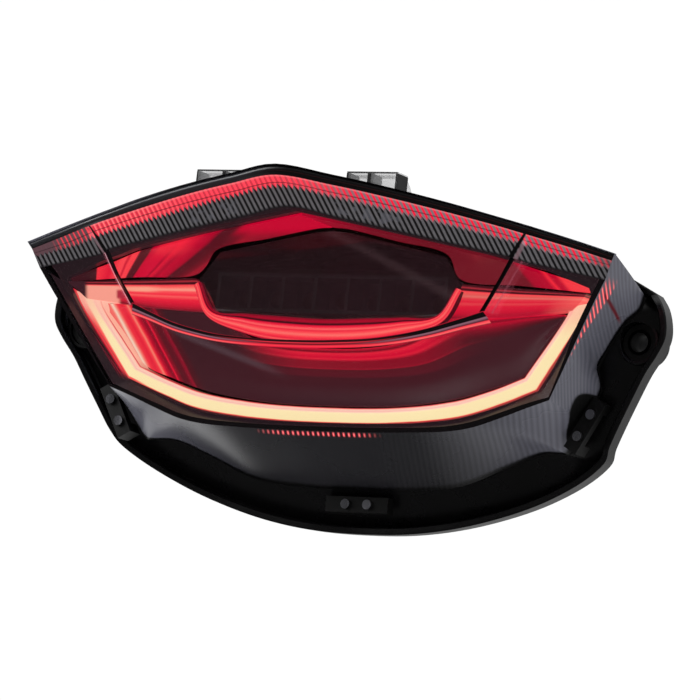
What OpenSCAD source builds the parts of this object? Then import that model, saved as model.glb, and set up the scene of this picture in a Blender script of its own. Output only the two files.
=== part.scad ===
// Motorcycle tail light: a smoked lens over a U-shaped running light and a
// seven-cell brake light, in a black tub with two rubber-mounted ears.
// X runs across the light, -Y is the side seen from behind the motorcycle, Z is up.
// The origin is midway between the two ear bolts, on the front faces of the ears.

/* [Overall size] */
// Width over the two ears
light_w = 197; // [187:1:207]
// Depth from the front of the lens to the back of the tub
light_d = 100; // [95:1:105]
// Height from the bottom rim to the top of the lens tabs
light_h = 92.7; // [88.7:1:96.7]

/* [Lens] */
// Wall thickness of the lens
lens_wall = 2; // [1.8:0.1:2.4]
// Thickness of the seal under the foot of the lens
seal_t = 1.4; // [1:0.1:1.8]

/* [Tub] */
// Wall thickness of the tub
tub_wall = 2.4; // [2:0.1:3]
// Height of the rim wall around the gutter
rim_h = 5.5; // [5:0.5:6.5]
// Width of the front face of the rim
rim_w = 1.8; // [1.4:0.1:2.2]

/* [Ear mounts] */
// Distance between the two ear bolts
ear_pitch = 178; // [177:0.5:179]
// Diameter of the bore through each steel collar
collar_bore = 5.4; // [5:0.1:5.6]
// Outer diameter of each steel collar
collar_d = 7; // [6.8:0.1:7.2]
// Outer diameter of each rubber grommet
grommet_d = 10.2; // [10:0.1:10.4]

/* [Brake light] */
// Number of brake light cells
cell_count = 7; // [5:1:7]
// Distance between neighbouring cells
cell_pitch = 10.4; // [9.6:0.1:10.6]
// Thickness of the partitions between the cells
cell_wall = 1; // [0.8:0.1:1.4]
// Diameter of each brake light emitter
led_d = 5; // [4:0.5:5.5]

/* [Running light] */
// Depth of the U-shaped light guide
guide_depth = 5; // [4:0.5:6]
// Number of emitters along each side of the running light
side_led_count = 4; // [3:1:5]
// Number of emitters along the bottom of the running light
bottom_led_count = 8; // [6:2:10]

/* [Connector] */
// Width of the opening of the connector socket
socket_w = 20; // [18:0.5:22]
// Height of the opening of the connector socket
socket_h = 10; // [9:0.5:12]
// Number of terminal pins
pin_count = 3; // [2:1:4]

/* [Hidden] */

// The tables below are for a light 197 mm wide, 100 mm deep and 92.7 mm high.
kx = light_w / 197;
ky = light_d / 100;
kz = light_h / 92.7;
ear_x = ear_pitch / 2;
rear_y = 45;
// Ears: front and back of the plate that the grommets grip, its boss and its hole.
ear_front = 1.8;
ear_back = 6.4;
ear_boss_d = 12.6;
collar_l = 10;
neck_d = collar_d + 1.8;
// Main board: front face, thickness, screw posts.
board_y = 20;
board_t = 1.6;
board_x = [-31, 31];
board_z = [-27, 7];
screw_d = 2.9;
rivet_d = 2;
rivet_gap = 7;
// Brake light cells and the height of the emitters in them.
cell_z0 = 3;
cell_z1 = 14;
cell_depth = 9;
led_z = 7.5;
// Connector socket and vent cap on the back.
socket_z = -14;
vent_x = 38;
vent_z = 8;

// Lens face, centre to side, one row for each crease, from the top edge downwards:
// top edge, lip, foot of the fluted band, middle and edge of the raised bay, foot of
// its step, chin, bottom edge.
face_half = [
    [[0, -55, 38], [16, -51.5, 35.9], [32, -48, 33.3], [48, -43.5, 30.3], [62, -39, 27.3],
        [71, -36, 25.3], [83, -32.2, 22.4], [94, -29, 19.5]],
    [[0, -54.2, 35], [16, -50.7, 33.1], [31.5, -47.2, 30.6], [47, -42.7, 27.8],
        [61, -38.5, 25], [69, -36.2, 23.2], [81.5, -31.5, 20.4], [92.8, -28, 17.6]],
    [[0, -45.4, 27.7], [15, -43.3, 25.2], [30, -40.7, 22.7], [45, -37.4, 20.2],
        [58.5, -34.2, 18], [65, -32.7, 16.9], [68, -29.5, 16.2], [90.5, -26.4, 12.5]],
    [[0, -41.2, 10], [15, -40.2, 10], [29.5, -38.4, 10], [44, -35.9, 10],
        [55.5, -33.3, 10], [61, -32, 10], [63.8, -28.6, 9.4], [87, -24.6, 7]],
    [[0, -35.4, -7.7], [13, -35.2, -7.4], [26, -34.6, -6.3], [39, -33.4, -3.6],
        [49, -31.8, -0.2], [56, -30.4, 2.5], [59, -27.2, 2], [83.2, -22.3, 1]],
    [[0, -33.2, -9.6], [13, -33, -9.3], [26.5, -32.3, -8.2], [39.8, -31, -5.7],
        [50.5, -29.1, -2.4], [57.6, -27.5, -0.4], [60, -26.8, -0.8], [81.8, -21.4, -1.2]],
    [[0, -25, -20.5], [13, -24.7, -20.3], [26, -24, -19.6], [37.5, -23, -18],
        [47.5, -21.7, -15.2], [56, -20.6, -12.8], [63, -19.6, -11.8], [75.6, -17.3, -11]],
    [[0, -16, -30], [14, -15.6, -29.9], [28, -14.8, -29.4], [39, -14.1, -28.7],
        [47, -13.7, -27.3], [55, -13.6, -24.6], [63.5, -13.7, -21.4], [70.5, -14, -19]]
];
rows = len(face_half);
cols = len(face_half[0]);
side_k = cols - 1;
low_k = side_k + rows - 1;
last_k = low_k + cols - 1;

// Half outlines of the foot of the lens and of the inner edge of the rim. Both run
// from the top centre over the tip and down the side to the bottom centre, with one
// point for each point around the edge of the lens face.
foot_half = [[0, -38, 36.4], [16, -36.5, 34.2], [32, -33.5, 31.2], [48, -29, 27.8],
    [62, -24, 24.2], [70.5, -20.5, 21.8], [82, -13, 17.6], [92, -5, 12], [90.6, -4.6, 8],
    [86.6, -4, 5], [83.4, -3, 1.5], [80, -1.5, -3], [77.3, -0.5, -7.5],
    [78.6, 0.5, -13.5], [73.5, 2.5, -22], [70.5, 4, -28], [68, 5.5, -31],
    [59, 7.5, -30.8], [48, 8.7, -34.8], [33, 9.2, -40.6], [16, 9.3, -42.4],
    [0, 9.3, -42.6]];
rim_half = [[0, -36.4, 36.6], [16, -34.9, 34.4], [32, -31.9, 31.4], [48, -27.4, 28],
    [62, -22.4, 24.4], [70.7, -18.9, 22], [82.3, -11.4, 17.8], [92.5, -3.3, 12.4],
    [95.2, -4, 9], [96.4, -3.6, 4.8], [96.2, -3, 0.6], [93.8, -2, -3.6], [90.2, -0.8, -8.4],
    [86.6, 0.6, -14.5], [82.5, 2.5, -21.5], [79, 4.5, -27.5], [75.8, 8, -31.8],
    [66, 11.5, -37.6], [51.5, 13.6, -43.7], [34, 14, -48.8], [17, 14.2, -51.6], [0, 15, -52.2]];

// Half outlines of the inner bezel: its outer edge, the foot of its band and the edge
// of its opening, with one point for each point around the lens face.
bezel_outer = [[0, -49.4, 35], [15.4, -46, 32.8], [31, -42.5, 30.1], [46, -37.8, 27.2],
    [60, -33.4, 24.2], [67.5, -30.9, 22.2], [79, -26.2, 19.1], [88.4, -24.2, 15.2],
    [88, -24, 13.4], [86.4, -22.8, 11.3], [84, -21.4, 6.6], [80.4, -19, 0.8],
    [78.3, -17.8, -2], [72.6, -13.8, -10.7], [67.6, -10.6, -17.3], [61.2, -10.4, -19.7],
    [53.5, -10.3, -22.4], [46, -10.6, -25], [38.4, -11, -26.6], [27.4, -11.6, -27.4],
    [13.8, -12.4, -27.8], [0, -12.8, -27.9]];
bezel_band = [[0, -40.4, 28.6], [15, -38.3, 26.1], [30, -35.7, 23.6], [45, -32.4, 21.1],
    [58.2, -29.2, 18.9], [64, -27.4, 17.8], [70, -25, 16.8], [86, -22.6, 12.8],
    [86, -22.4, 11.4], [85, -21.8, 9.6], [83, -20.8, 5.8], [79.6, -18.9, 0.4],
    [77.3, -17.7, -2.6], [72, -14.3, -10.3], [67.1, -11.4, -17.2], [60.6, -11.2, -19.4],
    [53.2, -11.2, -21.9], [46, -11.5, -24.3], [39.2, -11.9, -25.9], [27.7, -12.5, -27],
    [13.9, -13.3, -27.5], [0, -13.7, -27.6]];
opening_half = [[0, -40.6, 27.5], [15, -38.4, 25.1], [30, -35.8, 22.6], [45, -32.6, 20.1],
    [58, -29.4, 18], [63, -27.6, 16.8], [71, -24.6, 15.2], [83.4, -21.8, 11],
    [84, -21.2, 9.4], [83.6, -20.6, 8], [81.8, -19.8, 5], [78.6, -18.6, 0],
    [76.3, -17.6, -3.3], [71.3, -14.8, -10], [66.6, -12, -17.1], [60, -11.8, -19.1],
    [53, -12, -21.4], [46, -12.3, -23.6], [40, -12.7, -25.2], [28, -13.2, -26.6],
    [14, -14, -27.2], [0, -14.4, -27.4]];

// Half paths of the two edges of the U-shaped guide, top end to bottom centre.
guide_out = [[83, -18, 7.6], [79, -17.4, 1.5], [65.7, -13, -16.2], [54, -12, -20.5],
    [41, -12, -24.4], [21, -11, -26.4], [0, -10.4, -26.8]];
guide_in = [[75.2, -16.6, 6.2], [73.2, -16.4, 2], [61.6, -13.4, -12.8], [52, -12.8, -16.4],
    [39, -12.4, -20], [20, -11, -22], [0, -10.4, -22.4]];

// Half rows of the lit strip behind the upper half of the band.
strip_top = [[0, -49.8, 33.8], [15.6, -46.6, 31.9], [30.7, -43.2, 29.4], [45.8, -38.8, 26.6],
    [59.5, -34.3, 23.8], [67.3, -31.9, 22], [76.4, -28.2, 19.4]];
strip_low = [[0, -46.2, 30.8], [15, -43.6, 28.9], [30, -40.5, 26.4], [45, -36.7, 23.8],
    [58, -32.8, 21.4], [65.5, -30.5, 19.8], [75.4, -27, 17.8]];

// Rows of the right wing reflector, outer end to brake window.
wing_top = [[82.3, -20.8, 9.7], [62, -20.4, 10.7], [42.9, -19.6, 11.7]];
wing_low = [[76.6, -18, 6.8], [57, -17.8, 5.4], [37.5, -17.4, 4]];

// Rows of the right upper reflector, from the middle of the light outwards: its edge
// behind the band and its edge around the brake window and over the wing.
bowl_top = [[0.3, -38.4, 26.7], [15, -36.4, 24.3], [30, -33.8, 21.9], [45, -30.6, 19.4],
    [58, -27.4, 17], [69.6, -23.2, 14.2], [80.8, -20.8, 10.8]];
bowl_low = [[0.3, -19.8, 26.8], [6.2, -19.7, 26.3], [21, -19.6, 23.3], [36.5, -19.5, 20.2],
    [43, -19.6, 12.6], [62, -20.4, 11.4], [80, -20.4, 10.1]];

// Half rows of the lower reflector, from under the brake light to the U-shaped guide.
dish_top = [[0, -16.6, -6.9], [14, -16.6, -6.3], [25, -16.6, -4.1], [37, -16.4, 2],
    [50, -16.2, 3.6], [62, -16, 4.3], [73.4, -15.4, 4.6]];
dish_mid = [[0, -9, -14], [17, -9.2, -13.6], [32, -9.6, -11.6], [45, -10.6, -6.8],
    [56, -11.6, -4], [64.6, -13, 0.2], [72.9, -15.2, 3.4]];
dish_low = [[0, -9.6, -21.8], [20, -10, -21.4], [38.4, -11.4, -19.3], [51.5, -11.8, -15.7],
    [60.7, -12.4, -12.2], [67.2, -14, -4], [72.4, -15.4, 2]];

// Half rows of the curved brake light guide under the window.
smile_top = [[0, -19.6, 1], [14, -19.6, 1.5], [25, -19.6, 2], [35.6, -19.6, 2.7]];
smile_mid = [[0, -22, -2.5], [14, -22, -2], [25, -21.6, -0.6], [36, -20.4, 2.3]];
smile_low = [[0, -19.8, -6.1], [14, -19.8, -5.5], [25, -19.8, -3.3], [36.4, -19.6, 1.8]];

// Half outline of the hexagonal brake window, apex to bottom centre.
window_half = [[0, 26], [6, 25.4], [36, 19.4], [42, 11.3], [36.5, 3.4], [0, 1.5]];
window_y = -19;

function pt(p) = [p.x * kx, p.y * ky, p.z * kz];
function mir(p) = [-p.x, p.y, p.z];
function move_y(pts, d) = [for (p = pts) p + [0, d, 0]];
// A half row, centre to side, becomes a whole row from left to right.
function whole_row(h) = concat([for (i = [len(h) - 1:-1:1]) pt(mir(h[i]))],
    [for (p = h) pt(p)]);
// The same for a half row that is listed from the side to the centre.
function whole_row_up(h) = whole_row([for (i = [len(h) - 1:-1:0]) h[i]]);
// A half outline becomes a closed ring that starts at the left tip.
function whole_ring(h) = concat([for (i = [side_k:-1:1]) pt(mir(h[i]))],
    [for (i = [0:last_k]) pt(h[i])],
    [for (i = [last_k - 1:-1:side_k + 1]) pt(mir(h[i]))]);
// A ring drawn in towards the middle by about d, and moved back by dy.
function inset(ring, d, dy) = [for (p = ring)
    [p.x * (1 - d / 84), p.y + dy, (p.z + 3) * (1 - d / 42) - 3]];
// A ring scaled to the back of the tub.
function rear_ring(ring, s, y) = [for (p = ring)
    [p.x * s, y, (p.z + 4) * (s + 0.1) - 4]];

// Two triangles between corners a, b, c, d.
function quad(a, b, c, d) = [[a, b, c], [a, c, d]];
function flat_list(v) = [for (a = v) for (b = a) b];
function ring_join(a, b, n) = flat_list([for (i = [0:n - 1])
    quad(a + i, b + i, b + (i + 1) % n, a + (i + 1) % n)]);

// Closed solid through a list of rings, first and last ring closed to a centre point.
module ring_solid(rings, first_mid, last_mid) {
    n = len(rings[0]);
    m = len(rings);
    polyhedron(points = concat(flat_list(rings), [first_mid, last_mid]),
        faces = concat(
            flat_list([for (j = [0:m - 2]) ring_join(j * n, (j + 1) * n, n)]),
            [for (i = [0:n - 1]) [m * n, i, (i + 1) % n]],
            [for (i = [0:n - 1]) [m * n + 1, (m - 1) * n + (i + 1) % n, (m - 1) * n + i]]));
}

// Closed frame: the last ring joins the first one.
module ring_frame(rings) {
    n = len(rings[0]);
    m = len(rings);
    polyhedron(points = flat_list(rings),
        faces = flat_list([for (j = [0:m - 1]) ring_join(j * n, ((j + 1) % m) * n, n)]));
}

// Slab between a front and a back grid of the same rows and columns.
module slab(front, back) {
    m = len(front);
    n = len(front[0]);
    b = m * n;
    polyhedron(points = concat(flat_list(front), flat_list(back)),
        faces = concat(
            flat_list([for (j = [0:m - 2]) for (i = [0:n - 2])
                quad(j * n + i, j * n + i + 1, (j + 1) * n + i + 1, (j + 1) * n + i)]),
            flat_list([for (j = [0:m - 2]) for (i = [0:n - 2])
                quad(b + j * n + i, b + (j + 1) * n + i, b + (j + 1) * n + i + 1,
                    b + j * n + i + 1)]),
            flat_list([for (i = [0:n - 2])
                quad(i, b + i, b + i + 1, i + 1)]),
            flat_list([for (i = [0:n - 2])
                quad((m - 1) * n + i, (m - 1) * n + i + 1, b + (m - 1) * n + i + 1,
                    b + (m - 1) * n + i)]),
            flat_list([for (j = [0:m - 2])
                quad(j * n, (j + 1) * n, b + (j + 1) * n, b + j * n)]),
            flat_list([for (j = [0:m - 2])
                quad(j * n + n - 1, b + j * n + n - 1, b + (j + 1) * n + n - 1,
                    (j + 1) * n + n - 1)])));
}

// Shell with a front grid, a back grid and a skirt of outer and inner rings.
module cap_shell(front, back, outer, inner) {
    m = len(front);
    n = len(front[0]);
    e = concat([for (i = [0:n - 1]) i], [for (j = [1:m - 1]) j * n + n - 1],
        [for (i = [n - 2:-1:0]) (m - 1) * n + i], [for (j = [m - 2:-1:1]) j * n]);
    c = len(e);
    b = m * n;
    o = 2 * b;
    q = o + c;
    polyhedron(points = concat(flat_list(front), flat_list(back), outer, inner),
        faces = concat(
            flat_list([for (j = [0:m - 2]) for (i = [0:n - 2])
                quad(j * n + i, j * n + i + 1, (j + 1) * n + i + 1, (j + 1) * n + i)]),
            flat_list([for (j = [0:m - 2]) for (i = [0:n - 2])
                quad(b + j * n + i, b + (j + 1) * n + i, b + (j + 1) * n + i + 1,
                    b + j * n + i + 1)]),
            flat_list([for (i = [0:c - 1])
                quad(e[i], o + i, o + (i + 1) % c, e[(i + 1) % c])]),
            ring_join(o, q, c),
            flat_list([for (i = [0:c - 1])
                quad(q + i, b + e[i], b + e[(i + 1) % c], q + (i + 1) % c)])));
}

// Things placed on the left and the right alike.
module both_sides() {
    children();
    mirror([1, 0, 0]) children();
}

// Cylinder along Y, from y0 to y1.
module along_y(x, y0, y1, z, d) {
    translate([x, y1, z]) rotate([90, 0, 0]) cylinder(d = d, h = y1 - y0, $fn = 48);
}

// Box given by its two corners.
module box(a, b) {
    translate(a) cube(b - a);
}

// How far each row of the face moves back and up to make the inside of the lens.
face_back_y = [1.3, 1.5, 1.4, 1, 1, 1.2, 1.2, 0.8];
face_back_z = [-1, -0.3, 0, 0, 0.4, 0.4, 0.3, 0.7];

face_rows = [for (h = face_half) whole_row(h)];
face_back = [for (j = [0:rows - 1]) [for (p = face_rows[j])
    [p.x * (1 - lens_wall / 80), p.y + lens_wall * face_back_y[j],
        p.z + lens_wall * face_back_z[j]]]];
edge_half = concat(face_half[0], [for (j = [1:rows - 1]) face_half[j][side_k]],
    [for (i = [cols - 2:-1:0]) face_half[rows - 1][i]]);
foot = whole_ring(foot_half);
rim = whole_ring(rim_half);

// Smoked lens with its lip, fluted band, raised bay, chin and skirt.
module outer_lens() {
    color([0.35, 0.05, 0.08, 0.6])
    cap_shell(face_rows, face_back, foot, inset(foot, lens_wall * 1.2, 0));
}

// One clear tab on top of the lens: a front plate with a top wall, two ribs and a
// rounded gusset behind it. Its foot follows the slope of the lens.
module one_tab() {
    x0 = 16 * kx;
    x1 = 32 * kx;
    z1 = 38.4 * kz;
    z0 = 31 * kz;
    front = -43 * ky;
    foot_line = [[x0, 35.3 * kz], [x1, 32.8 * kz], [x1, z1], [x0, z1]];
    gusset = [[front, 32.8 * kz], [front + 9.4, 32.8 * kz], [front + 9.4, z1 - 5],
        [front + 8, z1 - 3], [front + 6, z1 - 1.4], [front + 3, z1 - 0.3], [front, z1]];
    translate([0, front + 6, 0]) rotate([90, 0, 0]) difference() {
        linear_extrude(6) polygon(foot_line);
        translate([x0 + 0.8, z0, -1]) cube([5.8, z1 - z0 - 0.8, 6]);
        translate([x0 + 8, z0, -1]) cube([7.2, z1 - z0 - 0.8, 6]);
    }
    translate([x1 - 0.8, 0, 0]) rotate([90, 0, 90]) linear_extrude(0.8) polygon(gusset);
}

module lens_tabs() {
    color([0.75, 0.76, 0.78, 0.7]) both_sides() one_tab();
}

// Rubber seal between the foot of the lens and the seat in the tub.
module lens_seal() {
    color([0.05, 0.05, 0.05])
    ring_frame([inset(foot, 0.3, 0.15), inset(foot, 0.3, seal_t - 0.05),
        inset(foot, lens_wall * 1.1, seal_t - 0.05), inset(foot, lens_wall * 1.1, 0.15)]);
}

// Black tub with the gutter, the rim, the ears, the screw posts and the rear holes.
module rear_housing() {
    back_y = rear_y * ky;
    color([0.03, 0.03, 0.03])
    difference() {
        union() {
            ring_solid([rear_ring(rim, 0.655, back_y - tub_wall),
                inset(foot, 6.4, -2.5), inset(foot, 4.8, -2.5), inset(foot, 3.3, seal_t),
                inset(rim, 0, 3.5), rim, inset(rim, -rim_w, 0),
                inset(rim, 0.3 - rim_w, rim_h), inset(foot, 0.3, 9),
                rear_ring(rim, 0.7, back_y)],
                [0, back_y - tub_wall, -4], [0, back_y, -4]);
            both_sides() along_y(ear_x, ear_front - 2.3, ear_back, 0, ear_boss_d);
            for (x = board_x) for (z = board_z)
                along_y(x, board_y + board_t, back_y - tub_wall + 0.5, z, 6);
        }
        both_sides() {
            along_y(ear_x, -8, ear_front, 0, grommet_d + 0.4);
            along_y(ear_x, ear_front - 1, ear_back + 1, 0, neck_d);
            along_y(ear_x, ear_back, ear_back + 6, 0, grommet_d + 0.4);
        }
        for (x = board_x) for (z = board_z)
            along_y(x, board_y, board_y + board_t + 9, z, screw_d);
        box([-socket_w / 2, back_y - tub_wall - 1, socket_z - socket_h / 2 + 1],
            [socket_w / 2, back_y + 1, socket_z + socket_h / 2 - 1]);
        along_y(vent_x, back_y - tub_wall - 1, back_y + 1, vent_z, 5);
    }
}

// Black frame behind the edge of the lens, with a wide band along its top.
module inner_bezel() {
    outer = whole_ring(bezel_outer);
    band = whole_ring(bezel_band);
    opening = whole_ring(opening_half);
    t = 1.6;
    color([0.04, 0.04, 0.04])
    ring_frame([move_y(outer, t), move_y(band, t + 0.4), move_y(opening, t + 0.6),
        opening, band, outer]);
}

// Red strip that lights the upper half of the fluted band.
module top_light_strip() {
    top = whole_row(strip_top);
    low = whole_row(strip_low);
    color([0.9, 0.15, 0.2]) slab([top, low], [move_y(top, 1), move_y(low, 1)]);
}

// U-shaped light guide of the running light.
module running_light_guide() {
    a = whole_row_up(guide_out);
    b = whole_row_up(guide_in);
    color([1, 0.9, 0.7])
    slab([b, a], [move_y(b, guide_depth), move_y(a, guide_depth)]);
}

// Curved light guide under the brake window.
module brake_light_guide() {
    a = whole_row(smile_top);
    b = whole_row(smile_mid);
    c = whole_row(smile_low);
    color([0.95, 0.3, 0.3])
    slab([a, b, c], [for (r = [a, b, c]) [for (p = r) [p.x, -17.4 * ky, p.z]]]);
}

module one_upper_reflector() {
    a = [for (p = bowl_top) pt(p)];
    b = [for (p = bowl_low) pt(p)];
    lift = [0, 1, 0.9];
    color([0.75, 0.05, 0.15])
    slab([a, b], [[for (p = a) p + lift], [for (p = b) p + lift]]);
}

module upper_reflector_right() { one_upper_reflector(); }

module upper_reflector_left() { mirror([1, 0, 0]) one_upper_reflector(); }

module one_wing_reflector() {
    a = [for (i = [2:-1:0]) pt(wing_top[i])];
    b = [for (i = [2:-1:0]) pt(wing_low[i])];
    color([1, 0.35, 0.35]) slab([a, b], [move_y(a, 4), move_y(b, 4)]);
}

module wing_reflector_right() { one_wing_reflector(); }

module wing_reflector_left() { mirror([1, 0, 0]) one_wing_reflector(); }

// Dished reflector between the brake light and the U-shaped guide.
module lower_reflector() {
    a = whole_row(dish_top);
    b = whole_row(dish_mid);
    c = whole_row(dish_low);
    color([0.35, 0.08, 0.12])
    slab([a, b, c], [move_y(a, 1.2), move_y(b, 1.2), move_y(c, 1.2)]);
}

// Dark hexagonal pane in front of the brake light.
module brake_window() {
    y = window_y * ky;
    right = [for (p = window_half) [p.x * kx, p.y * kz]];
    left = [for (i = [len(right) - 2:-1:1]) [-right[i].x, right[i].y]];
    color([0.12, 0.1, 0.1, 0.8])
    translate([0, y + 1.4, 0]) rotate([90, 0, 0]) linear_extrude(1.4)
        polygon(concat(right, left));
}

// Row of open cells, one behind each emitter.
module brake_reflector() {
    w = cell_count * cell_pitch + cell_wall;
    y0 = window_y * ky + 1.8;
    color([0.5, 0.5, 0.52])
    difference() {
        box([-w / 2, y0, cell_z0], [w / 2, y0 + cell_depth, cell_z1]);
        for (i = [0:cell_count - 1]) {
            x = (i - (cell_count - 1) / 2) * cell_pitch;
            box([x - (cell_pitch - cell_wall) / 2, y0 - 1, cell_z0 + 1],
                [x + (cell_pitch - cell_wall) / 2, y0 + cell_depth - 1.2, cell_z1 - 1]);
            along_y(x, y0 + 1, y0 + cell_depth + 1, led_z, led_d + 0.4);
        }
    }
}

module brake_led_board() {
    y1 = window_y * ky + 1.8 + cell_depth + 0.1;
    color([0.05, 0.3, 0.15])
    box([-38, y1, cell_z0 - 3], [38, y1 + board_t, cell_z1 + 3]);
}

// One emitter in each cell, with a round lens on a square base.
module brake_leds() {
    y1 = window_y * ky + 1.8 + cell_depth + 0.1;
    color([0.9, 0.9, 0.85])
    for (i = [0:cell_count - 1])
        translate([(i - (cell_count - 1) / 2) * cell_pitch, y1, led_z])
            rotate([90, 0, 0]) {
                cylinder(d = led_d, h = 2, $fn = 32);
                translate([0, 0, 2]) cylinder(d1 = led_d, d2 = led_d - 2, h = 1.2, $fn = 32);
            }
}

// Point a fraction t of the way from p to q.
function between(p, q, t) = p + (q - p) * t;
// Edge of a side board, from the top end of the guide to just short of its corner.
function side_edge(h) = [pt(h[0]), pt(h[1]), pt(between(h[1], h[2], 0.85))];
// Edge of the bottom board, between the two corners of the guide.
function bottom_edge(h) = whole_row([for (i = [6:-1:3]) h[i]]);

module one_side_board() {
    a = move_y(side_edge(guide_out), guide_depth + 2);
    b = move_y(side_edge(guide_in), guide_depth + 2);
    color([0.05, 0.3, 0.15]) slab([a, b], [move_y(a, 1.2), move_y(b, 1.2)]);
}

module side_led_board_right() { one_side_board(); }

module side_led_board_left() { mirror([1, 0, 0]) one_side_board(); }

module bottom_led_board() {
    a = move_y(bottom_edge(guide_out), guide_depth + 2);
    b = move_y(bottom_edge(guide_in), guide_depth + 2);
    color([0.05, 0.3, 0.15]) slab([b, a], [move_y(b, 1.2), move_y(a, 1.2)]);
}

module one_running_led(p) {
    translate([p.x - 1.2, p.y + guide_depth + 0.6, p.z - 1.2]) cube([2.4, 0.8, 2.4]);
}

// Small square emitters between the boards and the back of the U-shaped guide.
module running_leds() {
    color([0.95, 0.9, 0.7]) {
        both_sides() for (i = [0:side_led_count - 1]) {
            t = (i + 0.5) / side_led_count;
            one_running_led(between(pt(between(guide_out[1], guide_in[1], 0.5)),
                pt(between(guide_out[2], guide_in[2], 0.5)), t * 0.8));
        }
        for (i = [0:bottom_led_count - 1]) {
            x = (i - (bottom_led_count - 1) / 2) * 84 / bottom_led_count;
            a = abs(x) / kx;
            z = lookup(a, [[0, -24.6], [20, -24.2], [40, -22.2], [53, -18.4]]);
            y = lookup(a, [[0, -10.4], [20, -11], [40, -12.2], [53, -12.4]]);
            one_running_led(pt([x / kx, y, z]));
        }
    }
}

// Main circuit board at the back of the tub.
module driver_board() {
    color([0.05, 0.3, 0.15])
    difference() {
        box([-36, board_y, -32], [36, board_y + board_t, 12]);
        for (x = board_x) for (z = board_z)
            along_y(x, board_y - 1, board_y + board_t + 1, z, screw_d + 0.4);
    }
}

// Capacitors, coil, driver chips and terminal block on the main board.
module driver_components() {
    color([0.15, 0.15, 0.17]) {
        for (x = [-18, -9]) along_y(x, board_y - 9, board_y, -22, 7);
        along_y(14, board_y - 5, board_y, -20, 11);
        for (x = [-20, 0, 20]) box([x - 4, board_y - 1.8, -8], [x + 4, board_y, -3]);
        box([-9, board_y - 7, 2], [9, board_y, 8]);
    }
}

// Four pan-head screws that hold the main board to its posts.
module board_screws() {
    color([0.7, 0.7, 0.72])
    for (x = board_x) for (z = board_z) {
        along_y(x, board_y - 1.8, board_y, z, 5.6);
        along_y(x, board_y - 0.01, board_y + board_t + 8, z, screw_d - 0.1);
    }
}

// One lens clip: a bar with two feet of its own length and two rivet holes.
module clip_bar(half_length, foot_a, foot_b) {
    difference() {
        union() {
            box([-half_length, 0, -2.2], [half_length, 2.4, 2.2]);
            box([-half_length, 2.3, -2.2], [3 - half_length, 2.4 + foot_a, 2.2]);
            box([half_length - 3, 2.3, -2.2], [half_length, 2.4 + foot_b, 2.2]);
        }
        for (s = [-1, 1]) along_y(s * rivet_gap / 2, -1, 4, 0, rivet_d);
    }
}

module clip_rivet_pair() {
    for (s = [-1, 1]) {
        along_y(s * rivet_gap / 2, -0.7, 0, 0, rivet_d + 0.8);
        along_y(s * rivet_gap / 2, -0.01, 2.4, 0, rivet_d - 0.05);
    }
}

module place_side_clip() {
    translate(pt([75.6, -1.6, -23.8])) rotate([0, -61, 0]) children();
}

module place_bottom_clip() {
    translate(pt([0, 10, -46.6])) children();
}

module lens_clip_right() {
    color([0.03, 0.03, 0.03]) place_side_clip() clip_bar(8, 3.2, 1.4);
}

module lens_clip_left() {
    color([0.03, 0.03, 0.03]) mirror([1, 0, 0]) place_side_clip() clip_bar(8, 3.2, 1.4);
}

module lens_clip_bottom() {
    color([0.03, 0.03, 0.03]) place_bottom_clip() clip_bar(10, 1, 1);
}

// Two bright rivets through each lens clip.
module clip_rivets() {
    color([0.8, 0.8, 0.82]) {
        both_sides() place_side_clip() clip_rivet_pair();
        place_bottom_clip() clip_rivet_pair();
    }
}

// Grooved rubber grommets in the two ears.
module ear_grommets() {
    color([0.04, 0.04, 0.04])
    both_sides() difference() {
        union() {
            along_y(ear_x, ear_front - 1.4, ear_front, 0, grommet_d);
            along_y(ear_x, ear_front - 0.1, ear_back + 0.1, 0, neck_d);
            along_y(ear_x, ear_back, ear_back + 1.4, 0, grommet_d);
        }
        along_y(ear_x, ear_front - 3, ear_back + 3, 0, collar_d);
    }
}

// Steel collars through the grommets. They carry the bolt load.
module ear_collars() {
    color([0.2, 0.2, 0.21])
    both_sides() difference() {
        along_y(ear_x, 0, collar_l, 0, collar_d);
        along_y(ear_x, -1, collar_l + 1, 0, collar_bore);
    }
}

// Connector socket on the back of the tub. Its mouth opens backwards.
module connector_socket() {
    back_y = rear_y * ky;
    w = socket_w / 2;
    h = socket_h / 2;
    color([0.06, 0.06, 0.06])
    difference() {
        union() {
            box([-w - 5, back_y + 0.05, socket_z - h - 4], [w + 5, back_y + 2, socket_z + h + 4]);
            box([-w - 1.6, back_y + 1, socket_z - h - 1.6],
                [w + 1.6, back_y + 14, socket_z + h + 1.6]);
            box([-w + 0.2, back_y - tub_wall, socket_z - h + 1.2],
                [w - 0.2, back_y + 1, socket_z + h - 1.2]);
        }
        box([-w, back_y + 3, socket_z - h], [w, back_y + 15, socket_z + h]);
        for (i = [0:pin_count - 1]) pin_box(i, 0.8);
    }
}

module pin_box(i, r) {
    x = (i - (pin_count - 1) / 2) * 5;
    back_y = rear_y * ky;
    box([x - r, back_y - 6, socket_z - r], [x + r, back_y + 9.5, socket_z + r]);
}

module connector_pins() {
    color([0.8, 0.7, 0.4]) for (i = [0:pin_count - 1]) pin_box(i, 0.75);
}

// Breather cap on the back of the tub.
module vent_cap() {
    back_y = rear_y * ky;
    color([0.1, 0.1, 0.1]) {
        along_y(vent_x, back_y + 0.05, back_y + 3.6, vent_z, 12);
        along_y(vent_x, back_y - tub_wall - 0.5, back_y + 0.1, vent_z, 4.9);
    }
}

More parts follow.
